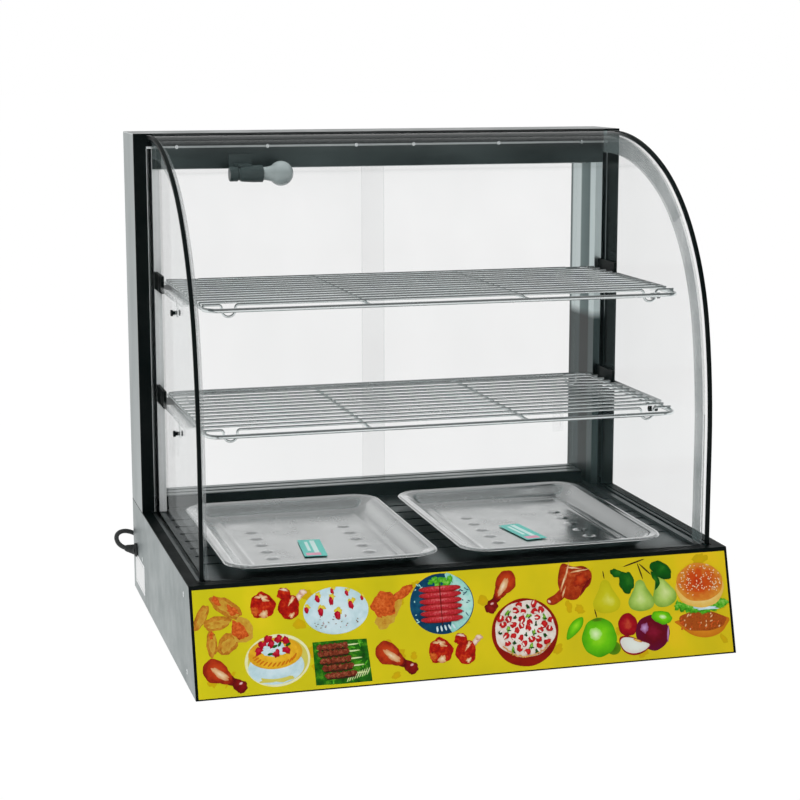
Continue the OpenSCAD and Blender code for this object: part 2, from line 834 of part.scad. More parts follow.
module lamp_holder() {
  color("lightgray") {
    difference() {
      rod_x_dir([-213, lamp_pos[1], lamp_pos[2]], 43, 11);
      rod_x_dir([-182, lamp_pos[1], lamp_pos[2]], 13, 8.8);
    }
    box([-202, lamp_pos[1] - 3, lamp_pos[2] + 10.6], [-184, y_col, lamp_pos[2] + 12.4]);
    box([-208, y_col - 1.5, lamp_pos[2] + 4], [-178, y_col, seat_z - 6]);
  }
}

module lamp_bulb() {
  color("white") {
    translate(lamp_pos) sphere(r = bulb_r);
    rod_x_dir([-181.5, lamp_pos[1], lamp_pos[2]], 24, 8.5);
  }
}

// ---- Trays ---------------------------------------------------------------

// A rounded rectangle
module plate_outline(w, l, r) {
  square([w - 2 * r, l], center = true);
  square([w, l - 2 * r], center = true);
  for (x = [-1, 1], y = [-1, 1]) translate([x * (w / 2 - r), y * (l / 2 - r)]) circle(r = r);
}

module tray_block(inset, z0, z1) {
  rim = 7;
  lean = 20;
  hull() {
    translate([0, 0, z0]) linear_extrude(0.05, $fn = 32)
      plate_outline(tray_w - 2 * (rim + lean + inset), tray_l - 2 * (rim + lean + inset), 20 - inset);
    translate([0, 0, z1]) linear_extrude(0.05, $fn = 32)
      plate_outline(tray_w - 2 * (rim + inset), tray_l - 2 * (rim + inset), 30 - inset);
  }
}

module tray(x) {
  color("gainsboro") translate([x, tray_y, floor_z]) {
    difference() {
      tray_block(0, 0, tray_h - 1);
      tray_block(1, 1, tray_h - 0.9);
    }
    translate([0, 0, tray_h - 1]) linear_extrude(1.4) difference() {
      plate_outline(tray_w, tray_l, 36);
      plate_outline(tray_w - 16, tray_l - 16, 28);
    }
  }
}

module left_tray() {
  tray(tray_x[0]);
}

module right_tray() {
  tray(tray_x[1]);
}

// ---- Pieces --------------------------------------------------------------

left_side_panel();
right_side_panel();
bottom_plate();
rear_control_panel();
front_backing_panel();
front_graphic_panel();
front_panel_trim();
top_rim();
side_glass_channels();
front_glass_channel();
floor_plate();
heat_tray();
heating_element();
heater_brackets();
thermostat_body();
thermostat_shaft();
thermostat_knob();
thermostat_sensor();
power_switch_housing();
power_switch_rocker();
lamp_switch_housing();
lamp_switch_rocker();
pilot_lamp();
terminal_block();
internal_wiring();
rubber_feet();
casing_screws();
cord_bushing();
power_cord();
cord_coil();
power_plug();
left_column();
right_column();
column_lips();
header_shell();
header_lip();
header_inner_rail();
glass_seat_strip();
top_glass_seal();
rear_sill();
lower_door_track();
upper_door_track();
left_rear_door();
right_rear_door();
left_door_pull();
right_door_pull();
left_side_glass();
right_side_glass();
front_glass();
glass_edge_trims();
corner_seals();
shelf_rails();
rail_brackets();
rail_studs();
upper_shelf();
lower_shelf();
lamp_holder();
lamp_bulb();
left_tray();
right_tray();
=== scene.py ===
"""Looks for the heated food display case: camera, light, materials and the detailed pieces."""

import math
import random

import bmesh
import bpy
from mathutils import Matrix, Vector


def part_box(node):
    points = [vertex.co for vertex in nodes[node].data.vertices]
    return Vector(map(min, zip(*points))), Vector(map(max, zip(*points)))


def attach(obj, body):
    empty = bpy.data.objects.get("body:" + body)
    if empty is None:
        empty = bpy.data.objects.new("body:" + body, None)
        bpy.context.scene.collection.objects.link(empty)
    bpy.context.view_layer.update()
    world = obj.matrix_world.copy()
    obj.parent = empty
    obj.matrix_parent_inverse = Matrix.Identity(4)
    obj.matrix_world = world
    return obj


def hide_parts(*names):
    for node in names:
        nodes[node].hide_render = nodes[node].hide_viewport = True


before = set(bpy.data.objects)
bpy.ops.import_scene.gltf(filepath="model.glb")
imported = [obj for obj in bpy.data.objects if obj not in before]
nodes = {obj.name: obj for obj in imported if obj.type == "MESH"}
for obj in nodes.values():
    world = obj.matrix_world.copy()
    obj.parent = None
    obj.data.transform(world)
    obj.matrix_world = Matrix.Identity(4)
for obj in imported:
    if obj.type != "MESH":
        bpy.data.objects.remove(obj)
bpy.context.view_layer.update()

MM = 0.001


# ---- Sizes read from the frame --------------------------------------------


def low(node):
    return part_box(node)[0]


def high(node):
    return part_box(node)[1]


HALF_W = high("header_shell").x
FRONT_FOOT = low("front_panel_trim").y
FOOT_Z = low("front_panel_trim").z
BASE_H = high("top_rim").z
FLOOR_Z = high("floor_plate").z
COLUMN_Y = low("header_lip").y
REAR = high("header_shell").y
FRONT_LEAN = math.atan2(low("top_rim").y - FRONT_FOOT, BASE_H - 4 * MM - FOOT_Z)


# ---- Camera ----------------------------------------------------------------


CAMERA_PLACE = (-0.6577, -2.2766, 0.7098)
CAMERA_YAW = 0.272
CAMERA_PITCH = -0.176
CAMERA_ROLL = 0.001
CAMERA_LENS = 85.67


def make_camera():
    data = bpy.data.cameras.new("camera")
    data.lens = CAMERA_LENS
    data.sensor_width = 36
    camera = bpy.data.objects.new("camera", data)
    bpy.context.scene.collection.objects.link(camera)
    camera.location = CAMERA_PLACE
    level = math.cos(CAMERA_PITCH)
    forward = Vector((math.sin(CAMERA_YAW) * level, math.cos(CAMERA_YAW) * level, math.sin(CAMERA_PITCH)))
    turn = forward.to_track_quat("-Z", "Y").to_matrix() @ Matrix.Rotation(-CAMERA_ROLL, 3, "Z")
    camera.rotation_euler = turn.to_euler()
    bpy.context.scene.camera = camera


make_camera()


# ---- Small mesh helpers ----------------------------------------------------


def new_object(name, data, body="case"):
    obj = bpy.data.objects.new(name, data)
    bpy.context.scene.collection.objects.link(obj)
    if body:
        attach(obj, body)
    return obj


def mesh_object(name, verts, faces, mats, body="case", smooth=True, face_mats=None):
    """A new piece from vertices in metres and faces."""
    mesh = bpy.data.meshes.new(name)
    mesh.from_pydata([tuple(v) for v in verts], [], faces)
    for mat in mats if isinstance(mats, (list, tuple)) else [mats]:
        mesh.materials.append(mat)
    if face_mats:
        mesh.polygons.foreach_set("material_index", face_mats)
    bm = bmesh.new()
    bm.from_mesh(mesh)
    bmesh.ops.recalc_face_normals(bm, faces=bm.faces)
    bm.to_mesh(mesh)
    bm.free()
    if smooth:
        mesh.polygons.foreach_set("use_smooth", [True] * len(mesh.polygons))
    mesh.update()
    return new_object(name, mesh, body)


def between(near, t):
    """The point at share t from the second to the third of four points on a Catmull-Rom line."""
    a, b, c, d = near
    bend = (2 * a - 5 * b + 4 * c - d) * t * t + (3 * b - a - 3 * c + d) * t**3
    return 0.5 * (2 * b + (c - a) * t + bend)


def smooth_line(points, steps):
    """A Catmull-Rom line through the points."""
    last = len(points) - 1
    out = []
    for i in range(last):
        near = points[max(i - 1, 0)], points[i], points[i + 1], points[min(i + 2, last)]
        out += [between(near, k / steps) for k in range(steps)]
    return out + [points[-1]]


def ringed(verts, sides):
    """Faces that join rings of vertices into a closed form, with flat ends."""
    faces = []
    for i in range(0, len(verts) - sides, sides):
        for k in range(sides):
            j = (k + 1) % sides
            faces.append((i + k, i + j, i + sides + j, i + sides + k))
    return faces + [tuple(range(sides)), tuple(range(len(verts) - sides, len(verts)))]


def tube(path, radius, sides=16):
    """Vertices and faces of a closed tube along a path."""
    verts = []
    normal = Vector((0.3, 0.2, 1))
    for i, p in enumerate(path):
        tangent = (path[min(i + 1, len(path) - 1)] - path[max(i - 1, 0)]).normalized()
        normal = (normal - tangent * normal.dot(tangent)).normalized()
        side = tangent.cross(normal)
        for k in range(sides):
            angle = math.tau * k / sides
            verts.append(p + radius * (normal * math.cos(angle) + side * math.sin(angle)))
    return verts, ringed(verts, sides)


def lathe(profile, sides=48):
    """Vertices and faces of a turned shape about local Z, from (radius, height) pairs."""
    verts = []
    for r, z in profile:
        for k in range(sides):
            angle = math.tau * k / sides
            verts.append(Vector((r * math.cos(angle), r * math.sin(angle), z)))
    return verts, ringed(verts, sides)


def placed(verts, matrix):
    return [matrix @ v for v in verts]


def joined(parts):
    """Several (vertices, faces) as one."""
    verts, faces = [], []
    for v, f in parts:
        base = len(verts)
        verts.extend(v)
        faces.extend(tuple(i + base for i in face) for face in f)
    return verts, faces


def box_part(a, b):
    """A box from its two corners, as vertices and faces."""
    corners = [Vector((x, y, z)) for x in (a[0], b[0]) for y in (a[1], b[1]) for z in (a[2], b[2])]
    faces = [(0, 1, 3, 2), (4, 6, 7, 5), (0, 4, 5, 1), (2, 3, 7, 6), (0, 2, 6, 4), (1, 5, 7, 3)]
    return corners, faces


SHARP_ANGLE = math.radians(35)


def add_bevel(obj, width):
    bevel = obj.modifiers.new("bevel", "BEVEL")
    bevel.width = width
    bevel.segments = 2
    bevel.limit_method = "ANGLE"
    bevel.angle_limit = SHARP_ANGLE
    bevel.harden_normals = False


# ---- Materials -------------------------------------------------------------

GRAIN_DEPTH = 0.2 * MM


class Shader:
    """A short way to write a node material."""

    def __init__(self, name):
        self.mat = bpy.data.materials.new(name)
        self.mat.use_nodes = True
        self.tree = self.mat.node_tree
        self.out = self.tree.nodes["Principled BSDF"]

    def node(self, kind, **inputs):
        made = self.tree.nodes.new(kind)
        for key, value in inputs.items():
            if hasattr(made, key):
                setattr(made, key, value)
            else:
                self.feed(made.inputs[key.replace("_", " ")], value)
        return made

    def feed(self, socket, value):
        if isinstance(value, bpy.types.NodeSocket):
            self.tree.links.new(value, socket)
        else:
            socket.default_value = value

    def set(self, **inputs):
        for key, value in inputs.items():
            self.feed(self.out.inputs[key.replace("_", " ")], value)

    def place(self, scale=(1, 1, 1), turn=(0, 0, 0)):
        coords = self.node("ShaderNodeTexCoord")
        mapping = self.node("ShaderNodeMapping")
        mapping.inputs["Scale"].default_value = scale
        mapping.inputs["Rotation"].default_value = turn
        self.tree.links.new(coords.outputs["Object"], mapping.inputs["Vector"])
        return mapping.outputs["Vector"]

    def noise(self, vector, scale, detail=4.0, rough=0.55):
        return self.node("ShaderNodeTexNoise", Vector=vector, Scale=scale, Detail=detail,
                         Roughness=rough).outputs["Fac"]

    def ramp(self, fac, stops):
        made = self.node("ShaderNodeValToRGB", Fac=fac)
        line = made.color_ramp.elements
        while len(line) < len(stops):
            line.new(0.5)
        for element, (place, colour) in zip(line, stops):
            element.position = place
            element.color = (*colour, 1)
        return made.outputs["Color"]

    def rise(self, value, start, end):
        """Goes from 0 to 1 as the value goes from start to end."""
        return self.span(value, 0.0, 1.0, start, end)

    def span(self, fac, low_value, high_value, start=0.0, end=1.0):
        made = self.node("ShaderNodeMapRange")
        self.feed(made.inputs["Value"], fac)
        made.inputs["From Min"].default_value = start
        made.inputs["From Max"].default_value = end
        made.inputs["To Min"].default_value = low_value
        made.inputs["To Max"].default_value = high_value
        return made.outputs["Result"]

    def blend(self, factor, first, second):
        made = self.node("ShaderNodeMix", data_type="RGBA")
        self.feed(made.inputs["Factor"], factor)
        self.feed(made.inputs[6], first)
        self.feed(made.inputs[7], second)
        return made.outputs[2]

    def math(self, operation, *values):
        made = self.node("ShaderNodeMath", operation=operation)
        for socket, value in zip(made.inputs, values):
            self.feed(socket, value)
        return made.outputs[0]

    def bump(self, height, strength):
        made = self.node("ShaderNodeBump", Height=height)
        made.inputs["Strength"].default_value = strength
        made.inputs["Distance"].default_value = GRAIN_DEPTH
        return made.outputs["Normal"]


def brushed_metal(name, light, dark, rough, grain=(1, 1, 1), scale=60, metallic=1.0, bump=0.15):
    """Sheet with a fine directional grain, cloudy tone and soft smudges."""
    s = Shader(name)
    along = s.noise(s.place(grain), scale, 6, 0.6)
    cloud = s.noise(s.place(), 7, 3, 0.5)
    smudge = s.noise(s.place(), 23, 5, 0.65)
    mixed = s.math("ADD", s.span(along, 0.0, 0.35), s.span(cloud, 0.0, 0.65))
    s.set(Base_Color=s.ramp(mixed, [(0.25, dark), (0.75, light)]), Metallic=metallic)
    s.set(Roughness=s.span(smudge, rough - 0.06, rough + 0.1, 0.3, 0.7))
    s.set(Normal=s.bump(along, bump))
    return s.mat


def satin(name, colour, rough, speck=0.02, scale=900, metallic=0.0, bump=0.1, coat=0.0, shine=0.5):
    """Painted or moulded surface with a fine orange-peel texture."""
    s = Shader(name)
    peel = s.noise(s.place(), scale, 3)
    wear = s.noise(s.place(), 14, 5, 0.6)
    darker = [max(0.0, c - speck) for c in colour]
    lighter = [min(1.0, c + speck) for c in colour]
    s.set(Base_Color=s.ramp(wear, [(0.3, darker), (0.7, lighter)]), Metallic=metallic)
    s.set(Roughness=s.span(wear, rough - 0.07, rough + 0.09, 0.3, 0.7))
    s.set(Normal=s.bump(peel, bump), Coat_Weight=coat, Specular_IOR_Level=shine)
    return s.mat


def clear(name, colour, alpha, rough=0.04, haze=0.03):
    """Clear moulded piece: faint body colour with a light film of haze."""
    s = Shader(name)
    film = s.noise(s.place((1, 1, 0.4)), 9, 5, 0.6)
    s.set(Base_Color=s.ramp(film, [(0.3, colour), (0.75, [min(1, c * 1.06) for c in colour])]))
    s.set(Roughness=s.span(film, rough, rough + 0.05, 0.3, 0.7))
    s.set(Alpha=s.span(film, alpha - haze, alpha + haze, 0.3, 0.7), IOR=1.5, Specular_IOR_Level=0.2)
    s.mat.surface_render_method = "BLENDED"
    return s.mat


EDGE_MIRROR = 0.4


def pane(name, film_alpha):
    """Clear sheet: each face mirrors a little when seen square on and most when seen along it."""
    s = Shader(name)
    film = s.noise(s.place((1, 1, 0.4)), 7, 4, 0.6)
    facing = s.node("ShaderNodeLayerWeight").outputs["Facing"]
    haze = s.span(film, film_alpha * 0.7, film_alpha * 1.3, 0.3, 0.7)
    mirror = s.math("MULTIPLY_ADD", s.math("POWER", facing, 5.0), EDGE_MIRROR, haze)
    s.set(Base_Color=s.ramp(film, [(0.3, (0.05, 0.09, 0.09)), (0.75, (0.10, 0.15, 0.15))]), Metallic=1.0)
    s.set(Roughness=s.span(film, 0.03, 0.06, 0.3, 0.7), Alpha=mirror)
    s.mat.surface_render_method = "BLENDED"
    return s.mat


# Height below which the right jamb's stripes are painted near black as shade.
PAINTED_SHADE_BELOW = 366 * MM


def column_steel():
    """Satin column: grey outside, a left jamb with painted light (a pale copy of the steel), and a right
    jamb with a painted reflection of a dark room in stripes and painted shade below a set height.
    """
    s = Shader("steel_column_painted_light")
    coords = s.node("ShaderNodeTexCoord").outputs["Object"]
    axis = s.node("ShaderNodeSeparateXYZ", Vector=coords)
    grain = s.noise(s.place((1, 1, 0.02)), 500, 6, 0.6)
    cloud = s.noise(s.place((1, 1, 0.35)), 12, 4, 0.6)
    outer = s.ramp(cloud, [(0.3, (0.20, 0.235, 0.235)), (0.7, (0.31, 0.35, 0.35))])
    # Painted light: the left jamb is the same steel painted pale.
    jamb = s.ramp(cloud, [(0.3, (0.86, 0.9, 0.9)), (0.7, (0.94, 0.97, 0.97))])
    depth = s.rise(axis.outputs["Y"], COLUMN_Y, REAR)
    # Painted reflection: light and dark stripes across the right jamb's depth.
    upper_painted_reflection = s.ramp(depth, [(0.2, (0.52, 0.6, 0.6)), (0.24, (0.06, 0.10, 0.10)),
                                  (0.55, (0.10, 0.15, 0.15)), (0.6, (0.56, 0.63, 0.63)),
                                  (0.9, (0.5, 0.57, 0.57)), (0.94, (0.08, 0.11, 0.11))])
    # Painted shade: the same stripes painted near black, used below the set height.
    lower_painted_shade = s.ramp(depth, [(0.2, (0.05, 0.07, 0.07)), (0.24, (0.002, 0.004, 0.004)),
                                 (0.55, (0.003, 0.005, 0.005)), (0.6, (0.03, 0.05, 0.05)),
                                 (0.9, (0.02, 0.035, 0.035)), (0.94, (0.002, 0.004, 0.004))])
    upper = s.rise(axis.outputs["Z"], PAINTED_SHADE_BELOW - 6 * MM, PAINTED_SHADE_BELOW + 6 * MM)
    right = s.blend(upper, lower_painted_shade, upper_painted_reflection)
    on_right = s.rise(axis.outputs["X"], -10 * MM, 10 * MM)
    inside = s.blend(on_right, jamb, right)
    reach = s.math("ABSOLUTE", axis.outputs["X"])
    outside = s.math("MAXIMUM", s.rise(reach, HALF_W - 3 * MM, HALF_W - 2 * MM),
                     s.rise(axis.outputs["Y"], REAR - 2 * MM, REAR - 1 * MM))
    s.set(Base_Color=s.blend(outside, inside, outer), Metallic=s.math("MAXIMUM", outside, on_right))
    s.set(Roughness=s.span(grain, 0.3, 0.42), Normal=s.bump(grain, 0.12))
    return s.mat


STEEL = brushed_metal("steel_brushed", (0.60, 0.63, 0.63), (0.40, 0.44, 0.44), 0.36, (1, 0.02, 1), 500)
# Painted shade: the side panels get a darker copy of the steel used on the front.
STEEL_SIDE_SHADED = brushed_metal("steel_side_painted_shade", (0.36, 0.40, 0.40), (0.20, 0.235, 0.235), 0.42, (1, 1, 0.06), 420)
# Painted shade and dark reflection: the floor plate, glass channels and heat tray get a much darker copy of
# the steel.
STEEL_FLOOR_SHADED = brushed_metal("steel_floor_painted_shade", (0.24, 0.27, 0.27), (0.13, 0.155, 0.16), 0.34, (0.02, 1, 1), 500)
STEEL_COLUMN = column_steel()
RAIL = brushed_metal("rail_polished", (0.97, 0.98, 0.98), (0.90, 0.92, 0.92), 0.2, (1, 0.02, 1), 500, 0.9,
                     0.03)
STEEL_TRAY = brushed_metal("steel_tray", (0.97, 0.985, 0.985), (0.86, 0.88, 0.88), 0.2, (1, 0.05, 1), 300,
                           1.0, 0.05)
CHROME = brushed_metal("chrome_wire", (0.92, 0.96, 0.96), (0.70, 0.75, 0.75), 0.2, (0.05, 1, 1), 900, 1.0,
                       0.05)
ALUMINIUM = brushed_metal("aluminium_satin", (0.66, 0.70, 0.70), (0.50, 0.54, 0.54), 0.38, (0.02, 1, 1),
                          600)
GALVANISED = brushed_metal("galvanised", (0.46, 0.49, 0.49), (0.30, 0.33, 0.33), 0.5, (1, 1, 1), 35)
BLACK = satin("black_satin", (0.003, 0.005, 0.005), 0.42, 0.002, 900, 0.0, 0.05, 0.0, 0.06)
# Painted shade and dark reflection: the header's inner rail and the rear sill are steel painted near black.
RAIL_PAINTED_SHADE = brushed_metal("rail_painted_shade", (0.09, 0.115, 0.115), (0.018, 0.025, 0.025), 0.35, (0.15, 1, 1), 40)
RUBBER = satin("black_rubber", (0.02, 0.023, 0.023), 0.62, 0.008, 1400, 0.0, 0.25)
PLASTIC_BLACK = satin("black_plastic", (0.02, 0.02, 0.021), 0.4, 0.008, 1600, 0.0, 0.2)
PLASTIC_RED = satin("red_plastic", (0.55, 0.03, 0.02), 0.3, 0.03, 1200, 0.0, 0.1, 0.3)
PLASTIC_GREEN = satin("green_plastic", (0.04, 0.36, 0.08), 0.3, 0.03, 1200, 0.0, 0.1, 0.3)
PLASTIC_WHITE = satin("white_plastic", (0.72, 0.72, 0.70), 0.45, 0.03, 1000, 0.0, 0.1)
LENS_AMBER = satin("amber_lens", (0.85, 0.33, 0.04), 0.15, 0.04, 300, 0.0, 0.05, 0.6)
COPPER = brushed_metal("copper_tube", (0.72, 0.42, 0.28), (0.5, 0.26, 0.16), 0.3, (1, 1, 1), 80)
ELEMENT = brushed_metal("heater_sheath", (0.2, 0.18, 0.17), (0.09, 0.085, 0.08), 0.5, (1, 1, 1), 90)
WIRE = satin("wire_insulation", (0.3, 0.09, 0.05), 0.5, 0.05, 800)
BULB = satin("bulb_frosted", (0.30, 0.35, 0.35), 0.22, 0.03, 200, 0.0, 0.03, 0.3)
HOLDER = satin("lamp_holder", (0.04, 0.055, 0.055), 0.35, 0.01, 300, 0.0, 0.1, 0.0, 0.2)
GLASS = pane("glass_clear", 0.04)
GLASS_DOOR = pane("glass_door", 0.035)
GLASS_EDGE = clear("glass_edge", (0.10, 0.17, 0.17), 0.75, 0.1)
CLEAR_PULL = clear("clear_plastic", (0.86, 0.9, 0.9), 0.04, 0.1, 0.02)
SEAL = clear("seal_translucent", (0.80, 0.84, 0.84), 0.10, 0.04, 0.04)
SEAL_EDGE = clear("seal_edge", (0.16, 0.2, 0.2), 0.55, 0.04, 0.15)
PAPER = satin("label_paper", (0.86, 0.87, 0.87), 0.55, 0.02, 700)
PAPER_GREY = satin("label_grey", (0.45, 0.48, 0.48), 0.55, 0.02, 700)
TEAL = satin("label_teal", (0.06, 0.56, 0.48), 0.35, 0.03, 500, 0.0, 0.05, 0.3)
TEAL_LIGHT = satin("label_teal_light", (0.62, 0.82, 0.79), 0.35, 0.03, 500)
PINK = satin("label_pink", (0.72, 0.30, 0.42), 0.35, 0.03, 500)


def printed_yellow():
    """Golden printed film: slanting soft blotches, olive on the left and warmer on the right."""
    s = Shader("printed_yellow")
    coords = s.node("ShaderNodeTexCoord").outputs["Object"]
    axis = s.node("ShaderNodeSeparateXYZ", Vector=coords)
    blotch = s.noise(s.place((1, 0.6, 0.8), (0, 0.6, 0)), 16, 3, 0.45)
    fine = s.noise(s.place(), 120, 2, 0.5)
    across = s.rise(axis.outputs["X"], -HALF_W, HALF_W)
    left = s.ramp(blotch, [(0.35, (0.50, 0.46, 0.006)), (0.56, (0.56, 0.50, 0.006)),
                           (0.74, (0.68, 0.54, 0.01))])
    right = s.ramp(blotch, [(0.35, (0.54, 0.43, 0.006)), (0.56, (0.62, 0.47, 0.006)),
                            (0.74, (0.72, 0.46, 0.01))])
    s.set(Base_Color=s.blend(across, left, right), Roughness=s.span(fine, 0.25, 0.36))
    s.set(Normal=s.bump(fine, 0.03), Specular_IOR_Level=0.2)
    return s.mat


YELLOW = printed_yellow()

CAD_LOOKS = {
    STEEL: ["rear_control_panel", "header_shell"],
    STEEL_SIDE_SHADED: ["left_side_panel", "right_side_panel"],
    STEEL_FLOOR_SHADED: ["floor_plate", "side_glass_channels", "front_glass_channel", "heat_tray"],
    STEEL_COLUMN: ["left_column", "right_column"],
    CHROME: ["casing_screws", "thermostat_shaft", "upper_shelf", "lower_shelf"],
    RAIL: ["shelf_rails"],
    ALUMINIUM: ["glass_seat_strip", "lower_door_track", "upper_door_track"],
    GALVANISED: ["bottom_plate", "front_backing_panel", "heater_brackets"],
    BLACK: ["front_panel_trim", "top_rim", "column_lips", "header_lip", "rail_brackets", "rail_studs"],
    RAIL_PAINTED_SHADE: ["header_inner_rail", "rear_sill"],
    RUBBER: ["rubber_feet", "top_glass_seal"],
    PLASTIC_BLACK: ["power_switch_housing", "lamp_switch_housing"],
    PLASTIC_RED: ["power_switch_rocker"],
    PLASTIC_GREEN: ["lamp_switch_rocker"],
    PLASTIC_WHITE: ["thermostat_body", "terminal_block"],
    LENS_AMBER: ["pilot_lamp"],
    COPPER: ["thermostat_sensor"],
    ELEMENT: ["heating_element"],
    WIRE: ["internal_wiring"],
    GLASS: ["left_side_glass", "right_side_glass"],
    GLASS_DOOR: ["left_rear_door", "right_rear_door"],
    CLEAR_PULL: ["left_door_pull", "right_door_pull"],
    YELLOW: ["front_graphic_panel"],
}

for look, names in CAD_LOOKS.items():
    for name in names:
        for cad_slot in nodes[name].material_slots:
            cad_slot.material = look

for name in ["left_column", "right_column", "header_shell", "column_lips", "header_lip", "top_rim",
             "lower_door_track", "rail_brackets"]:
    add_bevel(nodes[name], 0.35 * MM)


# ---- Power cord ------------------------------------------------------------

CORD_D = 6.2 * MM
LEAD_POINTS = [(-342, 231, 62), (-347.5, 237, 63.4), (-351.5, 244, 66.4), (-353, 252, 70.4),
               (-351, 261, 74), (-345, 270, 75.6), (-336, 277, 74.4), (-325, 282, 69.4), (-313, 285, 60),
               (-300, 287, 48), (-286, 290, 34), (-271, 293, 21), (-256, 296.5, 11), (-240, 299, 5.6),
               (-225, 300, 3.8), (-208, 298.2, 3.3)]
PLUG_LEAD_POINTS = [(-151, 299.5, 9.8), (-140, 302, 11.5), (-131, 302, 14), (-123, 302, 16.5),
                    (-116, 302, 17.8), (-108, 302, 18)]
COIL_CENTRE = (-180, 340)
COIL_START_R = 46.5
TURN_PITCH = 6.35
LAYER_STEP = 6.2


def coil_points():
    """Turns that wind inwards on the table, climb, and wind outwards on top."""
    first, bottom, climb, total = -105.0, 2.5 * 360, 0.35 * 360, 5 * 360 + 30
    inner = COIL_START_R - TURN_PITCH * 2.85
    out = []
    for k in range(0, total + 1, 15):
        if k <= bottom + climb:
            r = COIL_START_R - TURN_PITCH * k / 360
        else:
            r = inner + TURN_PITCH * (k - bottom - climb) / 360
        rise = min(max((k - bottom) / climb, 0), 1)
        z = 3.3 + LAYER_STEP * rise * rise * (3 - 2 * rise)
        angle = math.radians(first + k)
        out.append((COIL_CENTRE[0] + r * math.cos(angle), COIL_CENTRE[1] + r * math.sin(angle), z))
    return out


def make_cord():
    points = [Vector(p) * MM for p in LEAD_POINTS + coil_points() + PLUG_LEAD_POINTS]
    path = smooth_line(points, 4)
    verts, faces = tube(path, CORD_D / 2, 14)
    cord = mesh_object("mains_lead", verts, faces, RUBBER)
    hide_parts("power_cord", "cord_coil")
    length = sum((b - a).length for a, b in zip(path, path[1:]))
    return cord, path, length


def make_gland():
    """Snap-in strain relief with a segmented sleeve that turns towards the back."""
    height = (low("cord_bushing").z + high("cord_bushing").z) / 2
    centre = Vector((low("left_side_panel").x, 0.219, height))
    flange, flange_faces = lathe([(0.0085, 0), (0.0092, 0.0006), (0.0092, 0.0024), (0.0084, 0.0034),
                                  (0.0074, 0.0034)])
    flange = placed(flange, Matrix.Translation(centre) @ Matrix.Rotation(-math.pi / 2, 4, "Y"))
    rings = [(0.0074, -0.001)]
    for k in range(6):
        z = 0.0025 * k + 0.002
        r = 0.0071 - 0.00045 * k
        rings += [(r, z), (r, z + 0.0016), (r - 0.0009, z + 0.0017), (r - 0.0009, z + 0.0024)]
    rings += [(0.0043, 0.018), (0.0034, 0.0182)]
    turn = Matrix.Rotation(math.radians(-45), 4, "Z") @ Matrix.Rotation(-math.pi / 2, 4, "Y")
    sleeve, sleeve_faces = lathe(rings, 32)
    sleeve = placed(sleeve, Matrix.Translation(centre) @ turn)
    verts, faces = joined([(flange, flange_faces), (sleeve, sleeve_faces)])
    gland = mesh_object("cord_gland", verts, faces, RUBBER, smooth=False)
    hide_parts("cord_bushing")
    return gland


def make_plug():
    """Moulded round plug: ribbed neck, domed grip ring, flat nose and two pins."""
    x0 = low("power_plug").x
    centre = Vector((x0, 0.302, 0.018))
    neck = [(0.0034, 0.0)]
    for k in range(6):
        z = 0.003 * k + 0.001
        r = 0.0046 + 0.0004 * k
        neck += [(r, z), (r, z + 0.0018), (r - 0.0009, z + 0.002), (r - 0.0009, z + 0.0028)]
    body = neck + [(0.0115, 0.0215), (0.014, 0.0235), (0.0165, 0.030), (0.0175, 0.035), (0.0175, 0.0405),
                   (0.0166, 0.042), (0.0134, 0.0425), (0.0130, 0.0435), (0.0130, 0.0515), (0.0122, 0.0522)]
    parts = [lathe(body, 40)]
    for side in (-1, 1):
        pin, pin_faces = lathe([(0.0024, 0.052), (0.0024, 0.0692), (0.0018, 0.0706), (0.0008, 0.071)], 20)
        parts.append((placed(pin, Matrix.Translation((0, side * 0.0095, 0))), pin_faces))
    verts, faces = joined(parts)
    turn = Matrix.Translation(centre) @ Matrix.Rotation(math.pi / 2, 4, "Y")
    moulded = len(parts[0][1])
    face_mats = [0] * moulded + [1] * (len(faces) - moulded)
    plug = mesh_object("mains_plug", placed(verts, turn), faces, [PLASTIC_BLACK, CHROME],
                       smooth=False, face_mats=face_mats)
    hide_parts("power_plug")
    return plug


gland = make_gland()
plug = make_plug()
cord, cord_path, cord_length = make_cord()


# ---- Curved glass, its trims and seals --------------------------------------

BEND = [(0.650, 13), (0.270, 51), (0.375, 26)]
GLASS_T = 5 * MM
GLASS_Y = low("front_glass").y
GLASS_TOP = high("front_glass").z


def bend_line(inset):
    """The pane's side view, inset from its outer face, as (y, z) from the foot of the bend up."""
    rise = run = heading = 0.0
    centres = []
    for radius, angle in BEND:
        start, end = math.radians(heading), math.radians(heading + angle)
        centre = (run + radius * math.cos(start), rise - radius * math.sin(start))
        centres.append((*centre, radius, start, end))
        run += radius * (math.cos(start) - math.cos(end))
        rise += radius * (math.sin(end) - math.sin(start))
        heading += angle
    foot = GLASS_TOP - rise
    line = []
    for cy, cz, radius, start, end in centres:
        steps = round(math.degrees(end - start) / 2)
        for k in range(steps + 1):
            h = start + (end - start) * k / steps
            r = radius - inset
            line.append((GLASS_Y + cy - r * math.cos(h), foot + cz + r * math.sin(h)))
    return line


